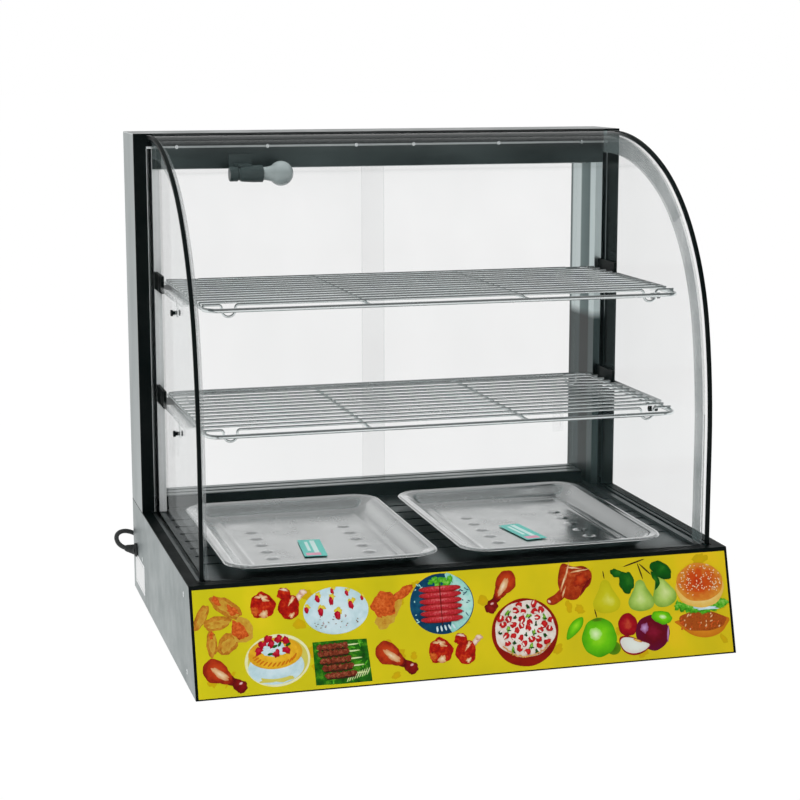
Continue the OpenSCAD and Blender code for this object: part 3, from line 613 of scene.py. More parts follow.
def bend_piece(name, x0, x1, inset0, inset1, bottom, end_y, mats):
    """A strip of the bend between two insets. Its ends and sides take the second material."""
    outer = [(GLASS_Y + inset0, bottom)] + bend_line(inset0) + [(end_y, GLASS_TOP - inset0)]
    inner = [(GLASS_Y + inset1, bottom)] + bend_line(inset1) + [(end_y, GLASS_TOP - inset1)]
    count = len(outer)
    verts = [Vector((x, y, z)) for x in (x0, x1) for line in (outer, inner) for y, z in line]
    faces, face_mats = [], []
    for i in range(count - 1):
        a, b, c, d = (k * count + i for k in range(4))
        faces += [(a, a + 1, c + 1, c), (b, d, d + 1, b + 1), (a, b, b + 1, a + 1), (c, c + 1, d + 1, d)]
        face_mats += [0, 0, 1, 1]
    for i in (0, count - 1):
        faces.append((i, 2 * count + i, 3 * count + i, count + i))
        face_mats.append(1)
    piece = mesh_object(name, verts, faces, mats, face_mats=face_mats)
    piece.data.set_sharp_from_angle(angle=SHARP_ANGLE)
    return piece


def make_glass():
    width = high("front_glass").x
    end_y = high("front_glass").y
    bottom = low("front_glass").z
    pane = bend_piece("curved_front_pane", -width, width, 0, GLASS_T, bottom, end_y,
                      [GLASS, GLASS_EDGE])
    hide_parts("front_glass")
    trims_end = high("glass_edge_trims").y
    for side, name in ((-1, "left"), (1, "right")):
        x0 = side * (width - 1.2 * MM)
        x1 = side * high("glass_edge_trims").x
        trim = bend_piece(name + "_glass_trim", min(x0, x1), max(x0, x1), -0.8 * MM, GLASS_T - 1.2 * MM,
                          BASE_H, trims_end, [BLACK, BLACK])
        add_bevel(trim, 0.6 * MM)
        x1 = side * high("corner_seals").x
        x0 = x1 - side * 3 * MM
        seal = bend_piece(name + "_corner_seal", min(x0, x1), max(x0, x1), GLASS_T + 0.2 * MM,
                          GLASS_T + 24 * MM, BASE_H, high("corner_seals").y, [SEAL, SEAL_EDGE])
        if side < 0:
            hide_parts("glass_edge_trims")
            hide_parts("corner_seals")


make_glass()


# ---- Trays ------------------------------------------------------------------

TRAY_CORNER = 36 * MM
TRAY_WALL = (9 * MM, 31 * MM)
TRAY_STEP = 2 * MM
TRAY_SHEET = 0.9 * MM


def smoothstep(x):
    x = min(max(x, 0.0), 1.0)
    return x * x * (3 - 2 * x)


def inside_distance(x, y, half_x, half_y, corner):
    """How far a point is inside a rounded rectangle, and the direction out of it."""
    qx, qy = abs(x) - half_x + corner, abs(y) - half_y + corner
    if qx > 0 and qy > 0:
        length = math.hypot(qx, qy)
        return corner - length, (math.copysign(qx / length, x), math.copysign(qy / length, y))
    if qx > qy:
        return corner - qx, (math.copysign(1, x), 0)
    return corner - qy, (0, math.copysign(1, y))


def tray_height(x, y, inside, depth):
    """Rolled rim, flat shoulder, sloping wall, stepped floor with two rows of pressed dimples."""
    wall = smoothstep((inside - TRAY_WALL[0]) / (TRAY_WALL[1] - TRAY_WALL[0]))
    z = depth - (depth - 1.2 * MM) * wall
    z += 0.9 * MM * math.exp(-((inside - 3.2 * MM) / (1.5 * MM)) ** 2)
    z -= 1.6 * MM * smoothstep(1 - inside / (2.2 * MM))
    z += 0.9 * MM * math.exp(-((inside - 40 * MM) / (2.2 * MM)) ** 2)
    for row in range(5):
        for column in (-60 * MM, 60 * MM):
            away = math.hypot(x - column, y - (51 - 33 * row) * MM)
            z += 1.1 * MM * smoothstep((8.5 * MM - away) / (4 * MM))
    return z


def make_tray(node):
    """The pressed sheet as a fine grid over the CAD tray. The tray's body has the node's name."""
    lo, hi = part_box(node)
    centre = (lo + hi) / 2
    half_x, half_y = (hi.x - lo.x) / 2, (hi.y - lo.y) / 2
    depth = hi.z - lo.z - TRAY_SHEET
    nx, ny = round(2 * half_x / TRAY_STEP), round(2 * half_y / TRAY_STEP)
    bm = bmesh.new()
    edge = bm.verts.layers.float.new("inside")
    grid = {}
    for i in range(nx + 1):
        for j in range(ny + 1):
            x, y = -half_x + 2 * half_x * i / nx, -half_y + 2 * half_y * j / ny
            inside, out = inside_distance(x, y, half_x, half_y, TRAY_CORNER)
            if inside < -1.5 * TRAY_STEP:
                continue
            if inside < 0:
                x += out[0] * inside
                y += out[1] * inside
                inside = 0
            z = tray_height(x, y, inside, depth)
            grid[i, j] = bm.verts.new((centre.x + x, centre.y + y, lo.z + z))
            grid[i, j][edge] = inside
    for i in range(nx):
        for j in range(ny):
            corners = [grid.get(key) for key in ((i, j), (i + 1, j), (i + 1, j + 1), (i, j + 1))]
            if None not in corners and any(v[edge] > 0 for v in corners):
                bm.faces.new(corners)
    bmesh.ops.delete(bm, geom=[v for v in bm.verts if not v.link_faces], context="VERTS")
    bmesh.ops.remove_doubles(bm, verts=bm.verts, dist=0.2 * MM)
    mesh = bpy.data.meshes.new(node + "_pressed")
    bm.to_mesh(mesh)
    bm.free()
    mesh.materials.append(STEEL_TRAY)
    mesh.polygons.foreach_set("use_smooth", [True] * len(mesh.polygons))
    tray = new_object(node + "_pressed", mesh, node)
    solid = tray.modifiers.new("sheet", "SOLIDIFY")
    solid.thickness = TRAY_SHEET
    solid.offset = -1
    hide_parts(node)


make_tray("left_tray")
make_tray("right_tray")


def make_tray_label(name, body, centre, turn):
    """A plain printed sticker: teal sheet, two pale bands and a pink corner."""
    middle = Matrix.Translation((centre[0] * MM, centre[1] * MM, FLOOR_Z + 2.4 * MM))
    place = middle @ Matrix.Rotation(math.radians(turn), 4, "Z")
    parts, face_mats = [], []
    for half_u, half_v, u, v, top, look in ((14, 40, 0, 0, 0.25, 0), (3, 30, 3, 5, 0.3, 1),
                                            (2, 22, -5, 8, 0.3, 1), (9, 6, -2, -30, 0.3, 2)):
        near = ((u - half_u) * MM, (v - half_v) * MM, 0)
        parts.append(box_part(near, ((u + half_u) * MM, (v + half_v) * MM, top * MM)))
        face_mats += [look] * 6
    verts, faces = joined(parts)
    mesh_object(name, placed(verts, place), faces, [TEAL, TEAL_LIGHT, PINK], body=body, smooth=False,
                face_mats=face_mats)


make_tray_label("left_tray_label", "left_tray", (-154, -71), -6)
make_tray_label("right_tray_label", "right_tray", (120, -64), 8)


# ---- Lamp --------------------------------------------------------------------


LAMP_Y = 0.124
GLOBE_R = 0.016


def make_lamp():
    """Lamp holder on its strap and plate, and a frosted globe on a short neck."""
    x = low("lamp_holder").x
    y, z = LAMP_Y, low("lamp_bulb").z + GLOBE_R
    profile = [(0.002, 0.0), (0.0085, 0.0), (0.0095, 0.001), (0.0095, 0.010), (0.0082, 0.011),
               (0.0082, 0.013), (0.0098, 0.015), (0.0108, 0.030), (0.0109, 0.0425), (0.0102, 0.043),
               (0.0089, 0.0425), (0.0089, 0.032)]
    verts, faces = lathe(profile, 40)
    turn = Matrix.Translation((x, y, z)) @ Matrix.Rotation(math.pi / 2, 4, "Y")
    strap = box_part((x + 0.011, y - 0.004, z + 0.0095), (x + 0.029, COLUMN_Y, z + 0.0118))
    plate = box_part((x + 0.005, COLUMN_Y - 0.0015, z + 0.0035), (x + 0.035, COLUMN_Y, z + 0.0235))
    verts, faces = joined([(placed(verts, turn), faces), strap, plate])
    holder = mesh_object("lamp_socket", verts, faces, HOLDER)
    holder.data.set_sharp_from_angle(angle=SHARP_ANGLE)
    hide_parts("lamp_holder")
    neck = [(0.0030, 0.0), (0.0078, 0.001), (0.0082, 0.003), (0.0082, 0.012), (0.0088, 0.017)]
    globe = [(GLOBE_R * math.sin(math.radians(a)), 0.0355 - GLOBE_R * math.cos(math.radians(a)))
             for a in range(40, 176, 9)]
    verts, faces = lathe(neck + globe + [(0.0004, 0.0515)], 40)
    turn = Matrix.Translation((low("lamp_bulb").x, y, z)) @ Matrix.Rotation(math.pi / 2, 4, "Y")
    bulb = mesh_object("lamp_globe", placed(verts, turn), faces, BULB)
    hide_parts("lamp_bulb")


make_lamp()


# ---- Label on the left panel ---------------------------------------------------


def make_side_label():
    """A plain white sheet with two thin grey lines across it, near the rear foot of the left side."""
    x = low("left_side_panel").x
    outer = box_part((x - 0.2 * MM, 0.150, 0.016), (x, 0.232, 0.056))
    frames = [box_part((x - 0.24 * MM, 0.154, z), (x - 0.19 * MM, 0.228, z + 0.6 * MM)) for z in (0.0195,
                                                                                                  0.0520)]
    verts, faces = joined([outer, *frames])
    mesh_object("side_label", verts, faces, [PAPER, PAPER_GREY], smooth=False,
                face_mats=[0] * 6 + [1] * 12)


make_side_label()


# ---- Thermostat knob -----------------------------------------------------------


def make_knob():
    """Skirted knob with a ribbed grip, a pointer bar and a white pointer line."""
    lo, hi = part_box("thermostat_knob")
    centre = Vector(((lo.x + hi.x) / 2, lo.y, (lo.z + hi.z) / 2))
    skirt = lathe([(0.0031, 0.0), (0.0188, 0.0), (0.019, 0.0012), (0.0182, 0.0042), (0.0165, 0.006),
                   (0.0152, 0.0066), (0.0150, 0.0085), (0.0031, 0.0088)], 64)
    ribs = []
    for k in range(28):
        angle = math.tau * k / 28
        rib = box_part((0.0148, -0.0005, 0.0055), (0.0158, 0.0005, 0.0086))
        ribs.append((placed(rib[0], Matrix.Rotation(angle, 4, "Z")), rib[1]))
    bar = box_part((-0.004, -0.0155, 0.0085), (0.004, 0.0155, 0.0138))
    line = box_part((-0.0005, 0.004, 0.0138), (0.0005, 0.015, 0.01395))
    verts, faces = joined([skirt, *ribs, bar, line])
    turn = Matrix.Translation(centre) @ Matrix.Rotation(-math.pi / 2, 4, "X")
    knob = mesh_object("thermostat_grip", placed(verts, turn), faces, [PLASTIC_BLACK, PAPER], body="knob",
                       smooth=False, face_mats=[0] * (len(faces) - 6) + [1] * 6)
    add_bevel(knob, 0.25 * MM)
    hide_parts("thermostat_knob")
    panel = high("rear_control_panel").y
    marks = []
    for k in range(10):
        angle = math.radians(90 + 27 * k + 13)
        mark = box_part((0.0215, -0.0005, 0), (0.0245 if k % 3 else 0.0265, 0.0005, 0.15 * MM))
        marks.append((placed(mark[0], Matrix.Rotation(angle, 4, "Z")), mark[1]))
    verts, faces = joined(marks)
    turn = Matrix.Translation((centre.x, panel, centre.z)) @ Matrix.Rotation(-math.pi / 2, 4, "X")
    mesh_object("thermostat_dial_marks", placed(verts, turn), faces, PLASTIC_BLACK, smooth=False)


make_knob()


# ---- Printed pictures on the front -----------------------------------------

PRINT_LIFT = 0.06
PRINT_STEP = 0.012
PATCH_LIFT = 0.02
PATCH_STEP = 0.001


def on_panel(u, v, lift):
    """A point on the slanted front: u to the right of its middle, v up its slope, both in mm."""
    y = FRONT_FOOT + (v * math.sin(FRONT_LEAN) - lift * math.cos(FRONT_LEAN)) * MM
    z = FOOT_Z + (v * math.cos(FRONT_LEAN) + lift * math.sin(FRONT_LEAN)) * MM
    return Vector((u * MM, y, z))


def srgb(red, green, blue):
    return tuple(0.86 * (c / 255) ** 2.3 for c in (red, green, blue))


def printed(name, scale, share, stops):
    """Glossy print that runs from the first colour at a shape's edge to the last at its highlight."""
    s = Shader("print_" + name)
    depth = s.node("ShaderNodeAttribute", attribute_name="depth").outputs["Fac"]
    grain = s.span(s.noise(s.place(), scale, 4, 0.6), 0.0, share, 0.3, 0.7)
    mixed = s.math("MULTIPLY_ADD", depth, 1 - share, grain)
    last = len(stops) - 1
    s.set(Base_Color=s.ramp(mixed, [(i / last, srgb(*c)) for i, c in enumerate(stops)]))
    s.set(Roughness=s.span(grain, 0.28, 0.36), Specular_IOR_Level=0.2)
    return s.mat


# Grain size, share of grain, and the colours from a shape's edge to its highlight.
INK_SPECS = {
    "crumb": (260, 0.6, (150, 84, 22), (196, 132, 44), (214, 160, 70)),
    "crumb_edge": (260, 0.6, (206, 176, 70), (198, 150, 54), (178, 108, 34)),
    "crisp": (330, 0.75, (150, 52, 18), (206, 92, 36), (226, 128, 62)),
    "glaze": (160, 0.35, (120, 24, 12), (186, 62, 26), (200, 86, 40)),
    "glaze_red": (240, 0.7, (112, 14, 8), (178, 30, 16), (216, 80, 34)),
    "cream": (200, 0.3, (196, 112, 60), (226, 186, 138), (244, 232, 206)),
    "knuckle": (150, 0.4, (84, 12, 10), (128, 24, 20), (150, 40, 32)),
    "gloss": (200, 0.2, (176, 90, 84), (240, 216, 214)),
    "bone": (200, 0.4, (176, 96, 62), (232, 206, 186), (244, 232, 222)),
    "icing": (110, 0.5, (176, 208, 214), (206, 228, 234), (222, 236, 240)),
    "plate_rim": (90, 0.4, (226, 224, 150), (232, 236, 214), (236, 240, 232)),
    "plate_shade": (90, 0.4, (206, 196, 84), (214, 206, 110)),
    "custard": (140, 0.5, (206, 150, 30), (232, 180, 44), (240, 196, 66)),
    "toffee": (200, 0.4, (196, 104, 20), (214, 124, 26)),
    "berry": (200, 0.4, (132, 8, 28), (186, 20, 50), (220, 70, 84)),
    "yolk": (200, 0.4, (196, 176, 40), (226, 206, 70), (214, 206, 90)),
    "fleck": (300, 0.5, (96, 70, 24), (150, 112, 50)),
    "leafy": (130, 0.8, (18, 62, 16), (40, 110, 22), (110, 180, 40)),
    "lettuce": (220, 0.7, (30, 110, 20), (84, 176, 40), (170, 220, 110)),
    "seared": (420, 0.8, (62, 22, 12), (128, 58, 38), (176, 106, 78)),
    "stick": (200, 0.4, (196, 214, 140), (226, 236, 190)),
    "dish_blue": (60, 0.7, (10, 52, 84), (16, 74, 104), (40, 110, 130)),
    "dish_teal": (70, 0.7, (120, 196, 186), (176, 224, 214), (206, 232, 228)),
    "sausage": (520, 0.45, (140, 26, 34), (196, 54, 60), (226, 140, 142)),
    "crust": (100, 0.5, (128, 20, 8), (150, 32, 12), (166, 50, 22)),
    "cheese": (200, 0.5, (222, 206, 190), (236, 230, 222), (244, 240, 234)),
    "pepperoni": (260, 0.4, (150, 16, 20), (196, 34, 38), (214, 62, 60)),
    "pepper": (260, 0.5, (40, 96, 20), (120, 180, 50), (196, 224, 110)),
    "pepper_dark": (260, 0.5, (16, 50, 18), (36, 86, 30)),
    "grain": (300, 0.4, (206, 128, 40), (238, 206, 130)),
    "roast": (150, 0.6, (112, 30, 8), (168, 58, 22), (206, 104, 56)),
    "pear_yellow": (60, 0.25, (186, 178, 20), (200, 196, 34), (222, 222, 110)),
    "pear": (60, 0.25, (112, 156, 40), (176, 206, 104), (216, 230, 160)),
    "stem": (200, 0.4, (50, 30, 16), (74, 48, 26)),
    "leaf": (120, 0.4, (10, 66, 16), (22, 96, 26), (60, 130, 40)),
    "lime": (60, 0.25, (60, 150, 10), (110, 200, 20), (170, 228, 50)),
    "shine": (60, 0.1, (150, 220, 70), (226, 244, 196)),
    "shadow": (60, 0.2, (96, 140, 16), (60, 110, 16)),
    "red_apple": (120, 0.4, (110, 8, 20), (166, 20, 34), (206, 90, 60)),
    "maroon": (90, 0.3, (96, 14, 60), (104, 6, 30), (150, 30, 60)),
    "violet": (90, 0.2, (130, 30, 90), (206, 170, 220)),
    "flesh": (90, 0.3, (214, 206, 196), (226, 232, 224), (232, 238, 232)),
    "bun": (120, 0.3, (222, 160, 60), (206, 84, 26), (190, 50, 18)),
    "bun_pale": (120, 0.3, (226, 178, 70), (240, 220, 150)),
    "bun_base": (120, 0.3, (196, 112, 20), (222, 146, 40)),
    "patty": (420, 0.85, (132, 60, 16), (176, 88, 30), (140, 52, 24)),
    "seed": (300, 0.3, (236, 206, 160), (248, 234, 206)),
    "gold": (60, 0.3, (196, 170, 16), (214, 172, 12)),
}
INK = {name: printed(name, scale, share, stops) for name, (scale, share, *stops) in INK_SPECS.items()}


def oval(u, v, half_u, half_v, turn=0, rough=0.0, seed=1, count=26):
    """A turned oval whose edge wanders in and out by the given share."""
    rng = random.Random(seed)
    waves = [(k, rng.uniform(0, math.tau)) for k in (2, 3, 5, 8)]
    c, s = math.cos(math.radians(turn)), math.sin(math.radians(turn))
    out = []
    for i in range(count):
        a = math.tau * i / count
        r = 1 + rough * sum(math.sin(k * a + phase) for k, phase in waves) / 2
        x, y = half_u * r * math.cos(a), half_v * r * math.sin(a)
        out.append((u + x * c - y * s, v + x * s + y * c))
    return out


def rounded(points, steps=4):
    """A closed smooth line through corner points."""
    line = [Vector(p) for p in points]
    count = len(line)
    out = []
    for i in range(count):
        near = [line[(i + k - 1) % count] for k in range(4)]
        out += [tuple(between(near, k / steps)) for k in range(steps)]
    return out


# Rings of a shape from its edge inwards, as shares of its size.
FULL = (1, 0.86, 0.66, 0.42, 0.2)
DOMED = (1, 0.6, 0.3)
LOW = (1, 0.6)
FLAT = (1, 0.5)


class Picture:
    """Flat closed shapes printed on the front, each a hair above the one before."""

    def __init__(self, name, u, v):
        self.name, self.u, self.v, self.size = name, u, v, 1.0
        self.lift, self.step = PRINT_LIFT, PRINT_STEP
        self.verts, self.faces, self.depth, self.inks, self.looks = [], [], [], [], []

    def add(self, ink, outline, light=(0, 0), rings=FULL):
        """One shape. The light is where its highlight sits, as shares of its half sizes."""
        if ink not in self.inks:
            self.inks.append(ink)
        look = self.inks.index(ink)
        spot_u, spot_v = ((max(c) + min(c)) / 2 + share * (max(c) - min(c)) / 2
                          for c, share in zip(zip(*outline), light))
        base, count = len(self.verts), len(outline)
        for scale, lift in [(1, 0.0), *((scale, self.lift) for scale in rings)]:
            for u, v in outline:
                u, v = spot_u + (u - spot_u) * scale, spot_v + (v - spot_v) * scale
                self.verts.append(on_panel(self.u + u * self.size, self.v + v * self.size, lift))
                self.depth.append(1 - scale)
        for ring in range(len(rings)):
            for k in range(count):
                j = (k + 1) % count
                a, b = base + ring * count, base + (ring + 1) * count
                self.faces.append((a + k, a + j, b + j, b + k))
                self.looks.append(look)
        self.faces.append(tuple(range(base, base + count)))
        self.looks.append(look)
        tip = len(self.verts)
        self.verts.append(on_panel(self.u + spot_u * self.size, self.v + spot_v * self.size, self.lift))
        self.depth.append(1.0)
        inner = base + len(rings) * count
        for k in range(count):
            self.faces.append((inner + k, inner + (k + 1) % count, tip))
            self.looks.append(look)
        self.lift += self.step

    def dot(self, ink, u, v, half_u, half_v, turn=0, count=10):
        self.add(ink, oval(u, v, half_u, half_v, turn, count=count), rings=FLAT)

    def finish(self):
        piece = mesh_object("print_" + self.name, self.verts, self.faces, [INK[k] for k in self.inks],
                            smooth=False, face_mats=self.looks)
        layer = piece.data.attributes.new("depth", "FLOAT", "POINT")
        layer.data.foreach_set("value", self.depth)


def draw_drumstick(p, meat, thick, knuckle, turn):
    """Meat, a narrow neck and a dark knuckle, with a pale streak along the meat."""
    mid = ((meat[0] + knuckle[0]) / 2, (meat[1] + knuckle[1]) / 2)
    p.add("knuckle", oval(*mid, 12, thick * 0.42, turn))
    p.add("glaze", oval(meat[0] * 0.45 + mid[0] * 0.55, meat[1] * 0.45 + mid[1] * 0.55, 13, thick * 0.62,
                        turn), (0, 0.1))
    p.add("glaze", oval(*meat, thick * 1.06, thick * 0.96, turn, 0.05, 4), (0.2, 0.1))
    streak = (meat[0] * 0.6 + mid[0] * 0.4, meat[1] * 0.6 + mid[1] * 0.4)
    p.add("cream", oval(*streak, 12.5, 3.8, turn, 0.12, 6), (-0.1, 0.0))
    p.add("knuckle", oval(*knuckle, 8.6, 7.2, turn, 0.12, 8), (0.1, 0.2))
    p.add("knuckle", oval(knuckle[0] * 1.2, knuckle[1] * 1.2, 5, 7.2, turn, 0.1, 9), (0.2, 0.3))
    p.add("gloss", oval(knuckle[0] * 1.05 + 1, knuckle[1] * 0.8, 2.4, 1.5, 20), rings=FLAT)


def draw_glazed_pair(p):
    """A glazed chunk on the left and a small leg with pale bone ends on the right."""
    p.add("glaze_red", oval(-17, 0, 14, 15.5, 20, 0.09, 3), (0.1, -0.2))
    p.add("cream", oval(-17, 8.5, 8, 3.2, -10, 0.35, 5), rings=LOW)
    p.add("glaze_red", oval(-20, 5.5, 4, 2.2, 30, 0.3, 6), rings=LOW)
    p.add("crisp", oval(-26.5, -6, 3.8, 5.5, 20, 0.2, 7))
    p.add("cream", oval(-16, -10, 4.6, 4.6, 30, 0.2, 8), (0.2, 0.3))
    p.add("bone", oval(27, 8, 8.5, 3.4, 48, 0.1, 9))
    p.add("bone", oval(30.6, 11.5, 4.2, 3.2, 20, 0.25, 10), (0, 0.3))
    p.add("glaze_red", oval(8, 12, 7.6, 6.4, 30, 0.14, 11), (0.2, 0.4))
    p.add("bone", oval(9, 16, 4.6, 1.6, -8, 0.3, 12), rings=FLAT)
    p.add("glaze_red", oval(13.5, -4, 12, 14.8, -8, 0.07, 13), (-0.1, -0.3))
    p.add("cream", oval(17, 3.5, 5.2, 2.2, 50, 0.35, 14), rings=LOW)
    p.add("cream", oval(16, -13.5, 3.4, 2.6, 10, 0.35, 15), rings=LOW)


def draw_fried_pieces(p):
    pieces = ((5, 21, 21, 9, -36), (-24, 12, 15, 6.5, 60), (-6.5, 4, 16, 8, 4), (-14, -19, 15, 6, 88),
              (4, -20, 14.5, 10, 48))
    for i, (u, v, long, wide, turn) in enumerate(pieces):
        p.add("crumb", oval(u, v, long, wide, turn, 0.09, 20 + i), (-0.1, 0.2))
        p.add("crumb_edge", oval(u + 1, v - 1, long * 0.7, wide * 0.55, turn, 0.25, 30 + i), (-0.2, 0.3))
    p.add("crisp", oval(-6, 29, 6, 3.6, -50, 0.2, 41))
    p.add("crisp", oval(12, 17, 8, 4.2, -30, 0.3, 42))
    p.add("crumb_edge", oval(22, -6, 12.5, 14.5, 20, 0.08, 43))
    p.add("crisp", oval(18, -6, 7.5, 12, 24, 0.18, 44))
    p.add("crisp", oval(-14, -9, 4, 2.6, 80, 0.3, 45))


def draw_fried_leg(p):
    p.add("crumb_edge", oval(-8.5, -11.5, 13, 11, 40, 0.12, 51), (0, -0.2))
    p.add("crumb_edge", oval(2, -3, 17, 6, 50, 0.1, 52))
    p.add("crisp", oval(13.5, 15.5, 14, 5.2, 34, 0.16, 53), (-0.3, 0.1))
    p.add("crisp", oval(23, 21, 4.6, 4.2, 10, 0.2, 54))
    p.add("crisp", oval(-9, 4, 14.5, 15.5, 30, 0.12, 55), (-0.1, 0.2))
    p.add("crumb_edge", oval(-8, -13, 9, 4, -12, 0.35, 56), rings=LOW)


def draw_white_cake(p):
    p.add("icing", oval(0, 0, 38.5, 27, 0, count=48))
    rng = random.Random(7)
    for u, v, big in ((-3, 23, 0.7), (14, 20, 0.7), (31.5, 13, 0.6), (-21, 16, 0.9), (-5, 12.5, 0.95),
                      (18, 6.5, 1),
                      (-34.5, 4, 0.8), (-18, 1, 1), (1.5, -4, 1.1)):
        p.add("yolk", oval(u + 1.2, v + 3.2 * big, 4.2 * big, 3.6 * big, 30, 0.3, rng.randrange(99), 14),
              rings=FLAT)
        p.add("berry", oval(u, v - 1.5 * big, 3 * big, 5 * big, 10, 0.15, rng.randrange(99), 14),
              (0.3, 0.4), DOMED)
    for k in range(22):
        p.dot("fleck", rng.uniform(-30, 28), rng.uniform(-20, -6), rng.uniform(0.5, 1.6), 0.45,
              rng.uniform(-50, 50), 8)
    for k in range(6):
        p.dot("berry", rng.uniform(-26, 30), rng.uniform(-18, -4), 0.8, 0.5, rng.uniform(0, 90), 8)


def draw_cream_cake(p):
    p.add("plate_rim", oval(1, 0, 38, 29.5, 4, count=48))
    p.add("plate_shade", oval(1.5, -0.5, 35, 26.5, 4, count=48))
    p.add("icing", oval(-1, -7.5, 32.5, 19.5, 2, count=40), (0.3, 0.1))
    p.add("plate_shade", oval(-1, -20.5, 18, 4.5, 2, 0.2, 60), rings=FLAT)
    p.add("icing", oval(-1, -5, 32, 15.5, 2, count=40), (0.2, -0.2))
    p.add("custard", oval(-1, 8, 31.5, 17.5, 2, count=40), (0, -0.3))
    for k in range(13):
        a = math.radians(190 + 12.5 * k)
        p.dot("toffee", -1 + 24 * math.cos(a), 8 + 12.5 * math.sin(a), 3.6, 1, 25 + 3 * k)
    p.add("icing", oval(-3, 13, 15, 8.4, 4, 0.12, 61))
    spots = ((-20, 12), (-15.5, 19), (-8.5, 25), (3.5, 24), (12, 21.5), (12, 11), (0, 8), (-5, 18.5))
    for i, (u, v) in enumerate(spots):
        p.add("berry", oval(u, v, 4.6, 4.4, 25 * i, 0.25, 62 + i, 14), (0.2, 0.4), DOMED)
    for u, v, turn in ((-7, 7.6, 10), (14.5, 17, 25), (4.5, 18, 60), (-1, 16, 20)):
        p.dot("leaf", u, v, 3.4, 1.5, turn)
    for u, v in ((-9, 13), (-3, 11.5), (5, 14), (-12, 15.5)):
        p.dot("icing", u, v, 2.6, 1.8)


def draw_skewers(p):
    p.add("leafy", rounded([(-33.4, 24.8), (0, 25), (30.6, 24.2), (32.4, 0), (34, -24.6), (0, -24.8),
                            (-32.4, -24),
                            (-33, 0)], 1))
    rng = random.Random(3)
    for k in range(26):
        p.dot("lettuce", rng.uniform(-30, 30), rng.uniform(-22, 21), rng.uniform(1.5, 5), 0.9,
              rng.uniform(0, 180))
    for k in range(9):
        p.dot("stick", 6 + 3 * k, -19 + 0.8 * k, 5, 0.6, 62)
    for row, (u, v) in enumerate(((-11, 18.2), (-10, 10.8), (-8, 2.4), (-6, -5.8), (-3, -14.4))):
        p.dot("stick", u + 23, v + 0.8, 9, 0.9, 2)
        p.dot("stem", u + 1, v - 3.2, 18, 1.3, 2)
        for k in range(6):
            p.add("seared", oval(u - 14.5 + 6 * k, v + 0.2 * k, 3.8, 3.4, 12, 0.16, row * 9 + k, 14),
                  (0, 0.3), DOMED)


def draw_sausage_plate(p):
    p.add("dish_blue", oval(0, 0, 38.8, 35.3, 0, count=52))
    p.add("dish_teal", rounded([(6, 34), (22, 28.5), (34, 15), (37.8, -2), (32, -18), (20, -29), (8, -32),
                                (14, 0)], 4))
    rng = random.Random(5)
    for k in range(16):
        a = rng.uniform(0, math.tau)
        p.dot("dish_teal", -27 + 6 * math.cos(a), 24 * math.sin(a), rng.uniform(0.8, 2.4), 0.7,
              rng.uniform(0, 180))
    for k in range(16):
        p.dot("dish_blue", rng.uniform(21, 33), rng.uniform(-16, 16), rng.uniform(1, 3), 0.6,
              rng.uniform(-60, 60))
    for k in range(9):
        p.add("lettuce", oval(-11 + 2.9 * k, 26 + 3 * math.sin(k * 1.7), 4.6, 2.6, 35 * k, 0.35, 70 + k,
                              14), rings=LOW)
    for k in range(5):
        p.dot("icing", -8 + 5 * k, -29 + 0.5 * k, 1.2, 3.5, 8 * k)
    for row in range(6):
        v = 17.6 - 7 * row
        p.dot("crust", -1.5, v - 3, 21, 1.2)
        p.add("sausage", rounded([(-22, v - 2.6), (-22, v + 2.6), (19, v + 2.8), (19, v - 2.4)], 5),
              (0, 0.4))
        for k in range(13):
            p.dot("berry", -20.5 + 3.1 * k, v - 1, 0.45, 1.7, -16, 6)
    p.add("knuckle", rounded([(-2.1, -20), (-2.1, 20), (-1.3, 20), (-1.3, -20)], 2), rings=FLAT)


def draw_pizza(p):
    p.add("crust", oval(0, 0, 41.5, 39.8, 0, 0.01, 2, 52), (0, 0.5))
    p.add("cheese", oval(0.3, 3.6, 37, 33.6, 0, 0.03, 3, 48))
    rng = random.Random(12)
    spots = []
    for k in range(46):
        r, a = math.sqrt((k + 0.5) / 46), k * 2.39996
        spots.append((0.5 + 34.5 * r * math.cos(a), 4.5 + 30.5 * r * math.sin(a)))
    for i, (u, v) in enumerate(spots):
        if i % 3 < 2:
            p.add("pepperoni", oval(u, v, rng.uniform(3.4, 4.8), rng.uniform(2.8, 4.2), rng.uniform(0, 90),
                                    0.15, i, 14),
                  (0.2, 0.3), DOMED)
            p.dot("cheese", u + rng.uniform(-3, 3), v + rng.uniform(-3.4, 3.4), 2.6, 1, rng.uniform(0, 180))
        elif i % 2:
            p.add("pepper", oval(u, v, 4, 2, rng.uniform(0, 180), 0.35, i, 12), (0.4, 0.2), LOW)
            p.dot("pepper_dark", u + 1, v - 1.6, 2.6, 0.8, rng.uniform(0, 180))
        else:
            p.add("pepper_dark", oval(u, v, 2.8, 2.1, rng.uniform(0, 180), 0.3, i, 12), rings=LOW)
            p.dot("cheese", u + 2, v + 2, 3.4, 1.2, rng.uniform(0, 180))
    for k in range(44):
        a = math.radians(215 + 110 * k / 43)
        r = rng.uniform(0.93, 1.0)
        p.dot("grain", 36 * r * math.cos(a), 3.6 + 33 * r * math.sin(a), 1, 0.8, 0, 7)


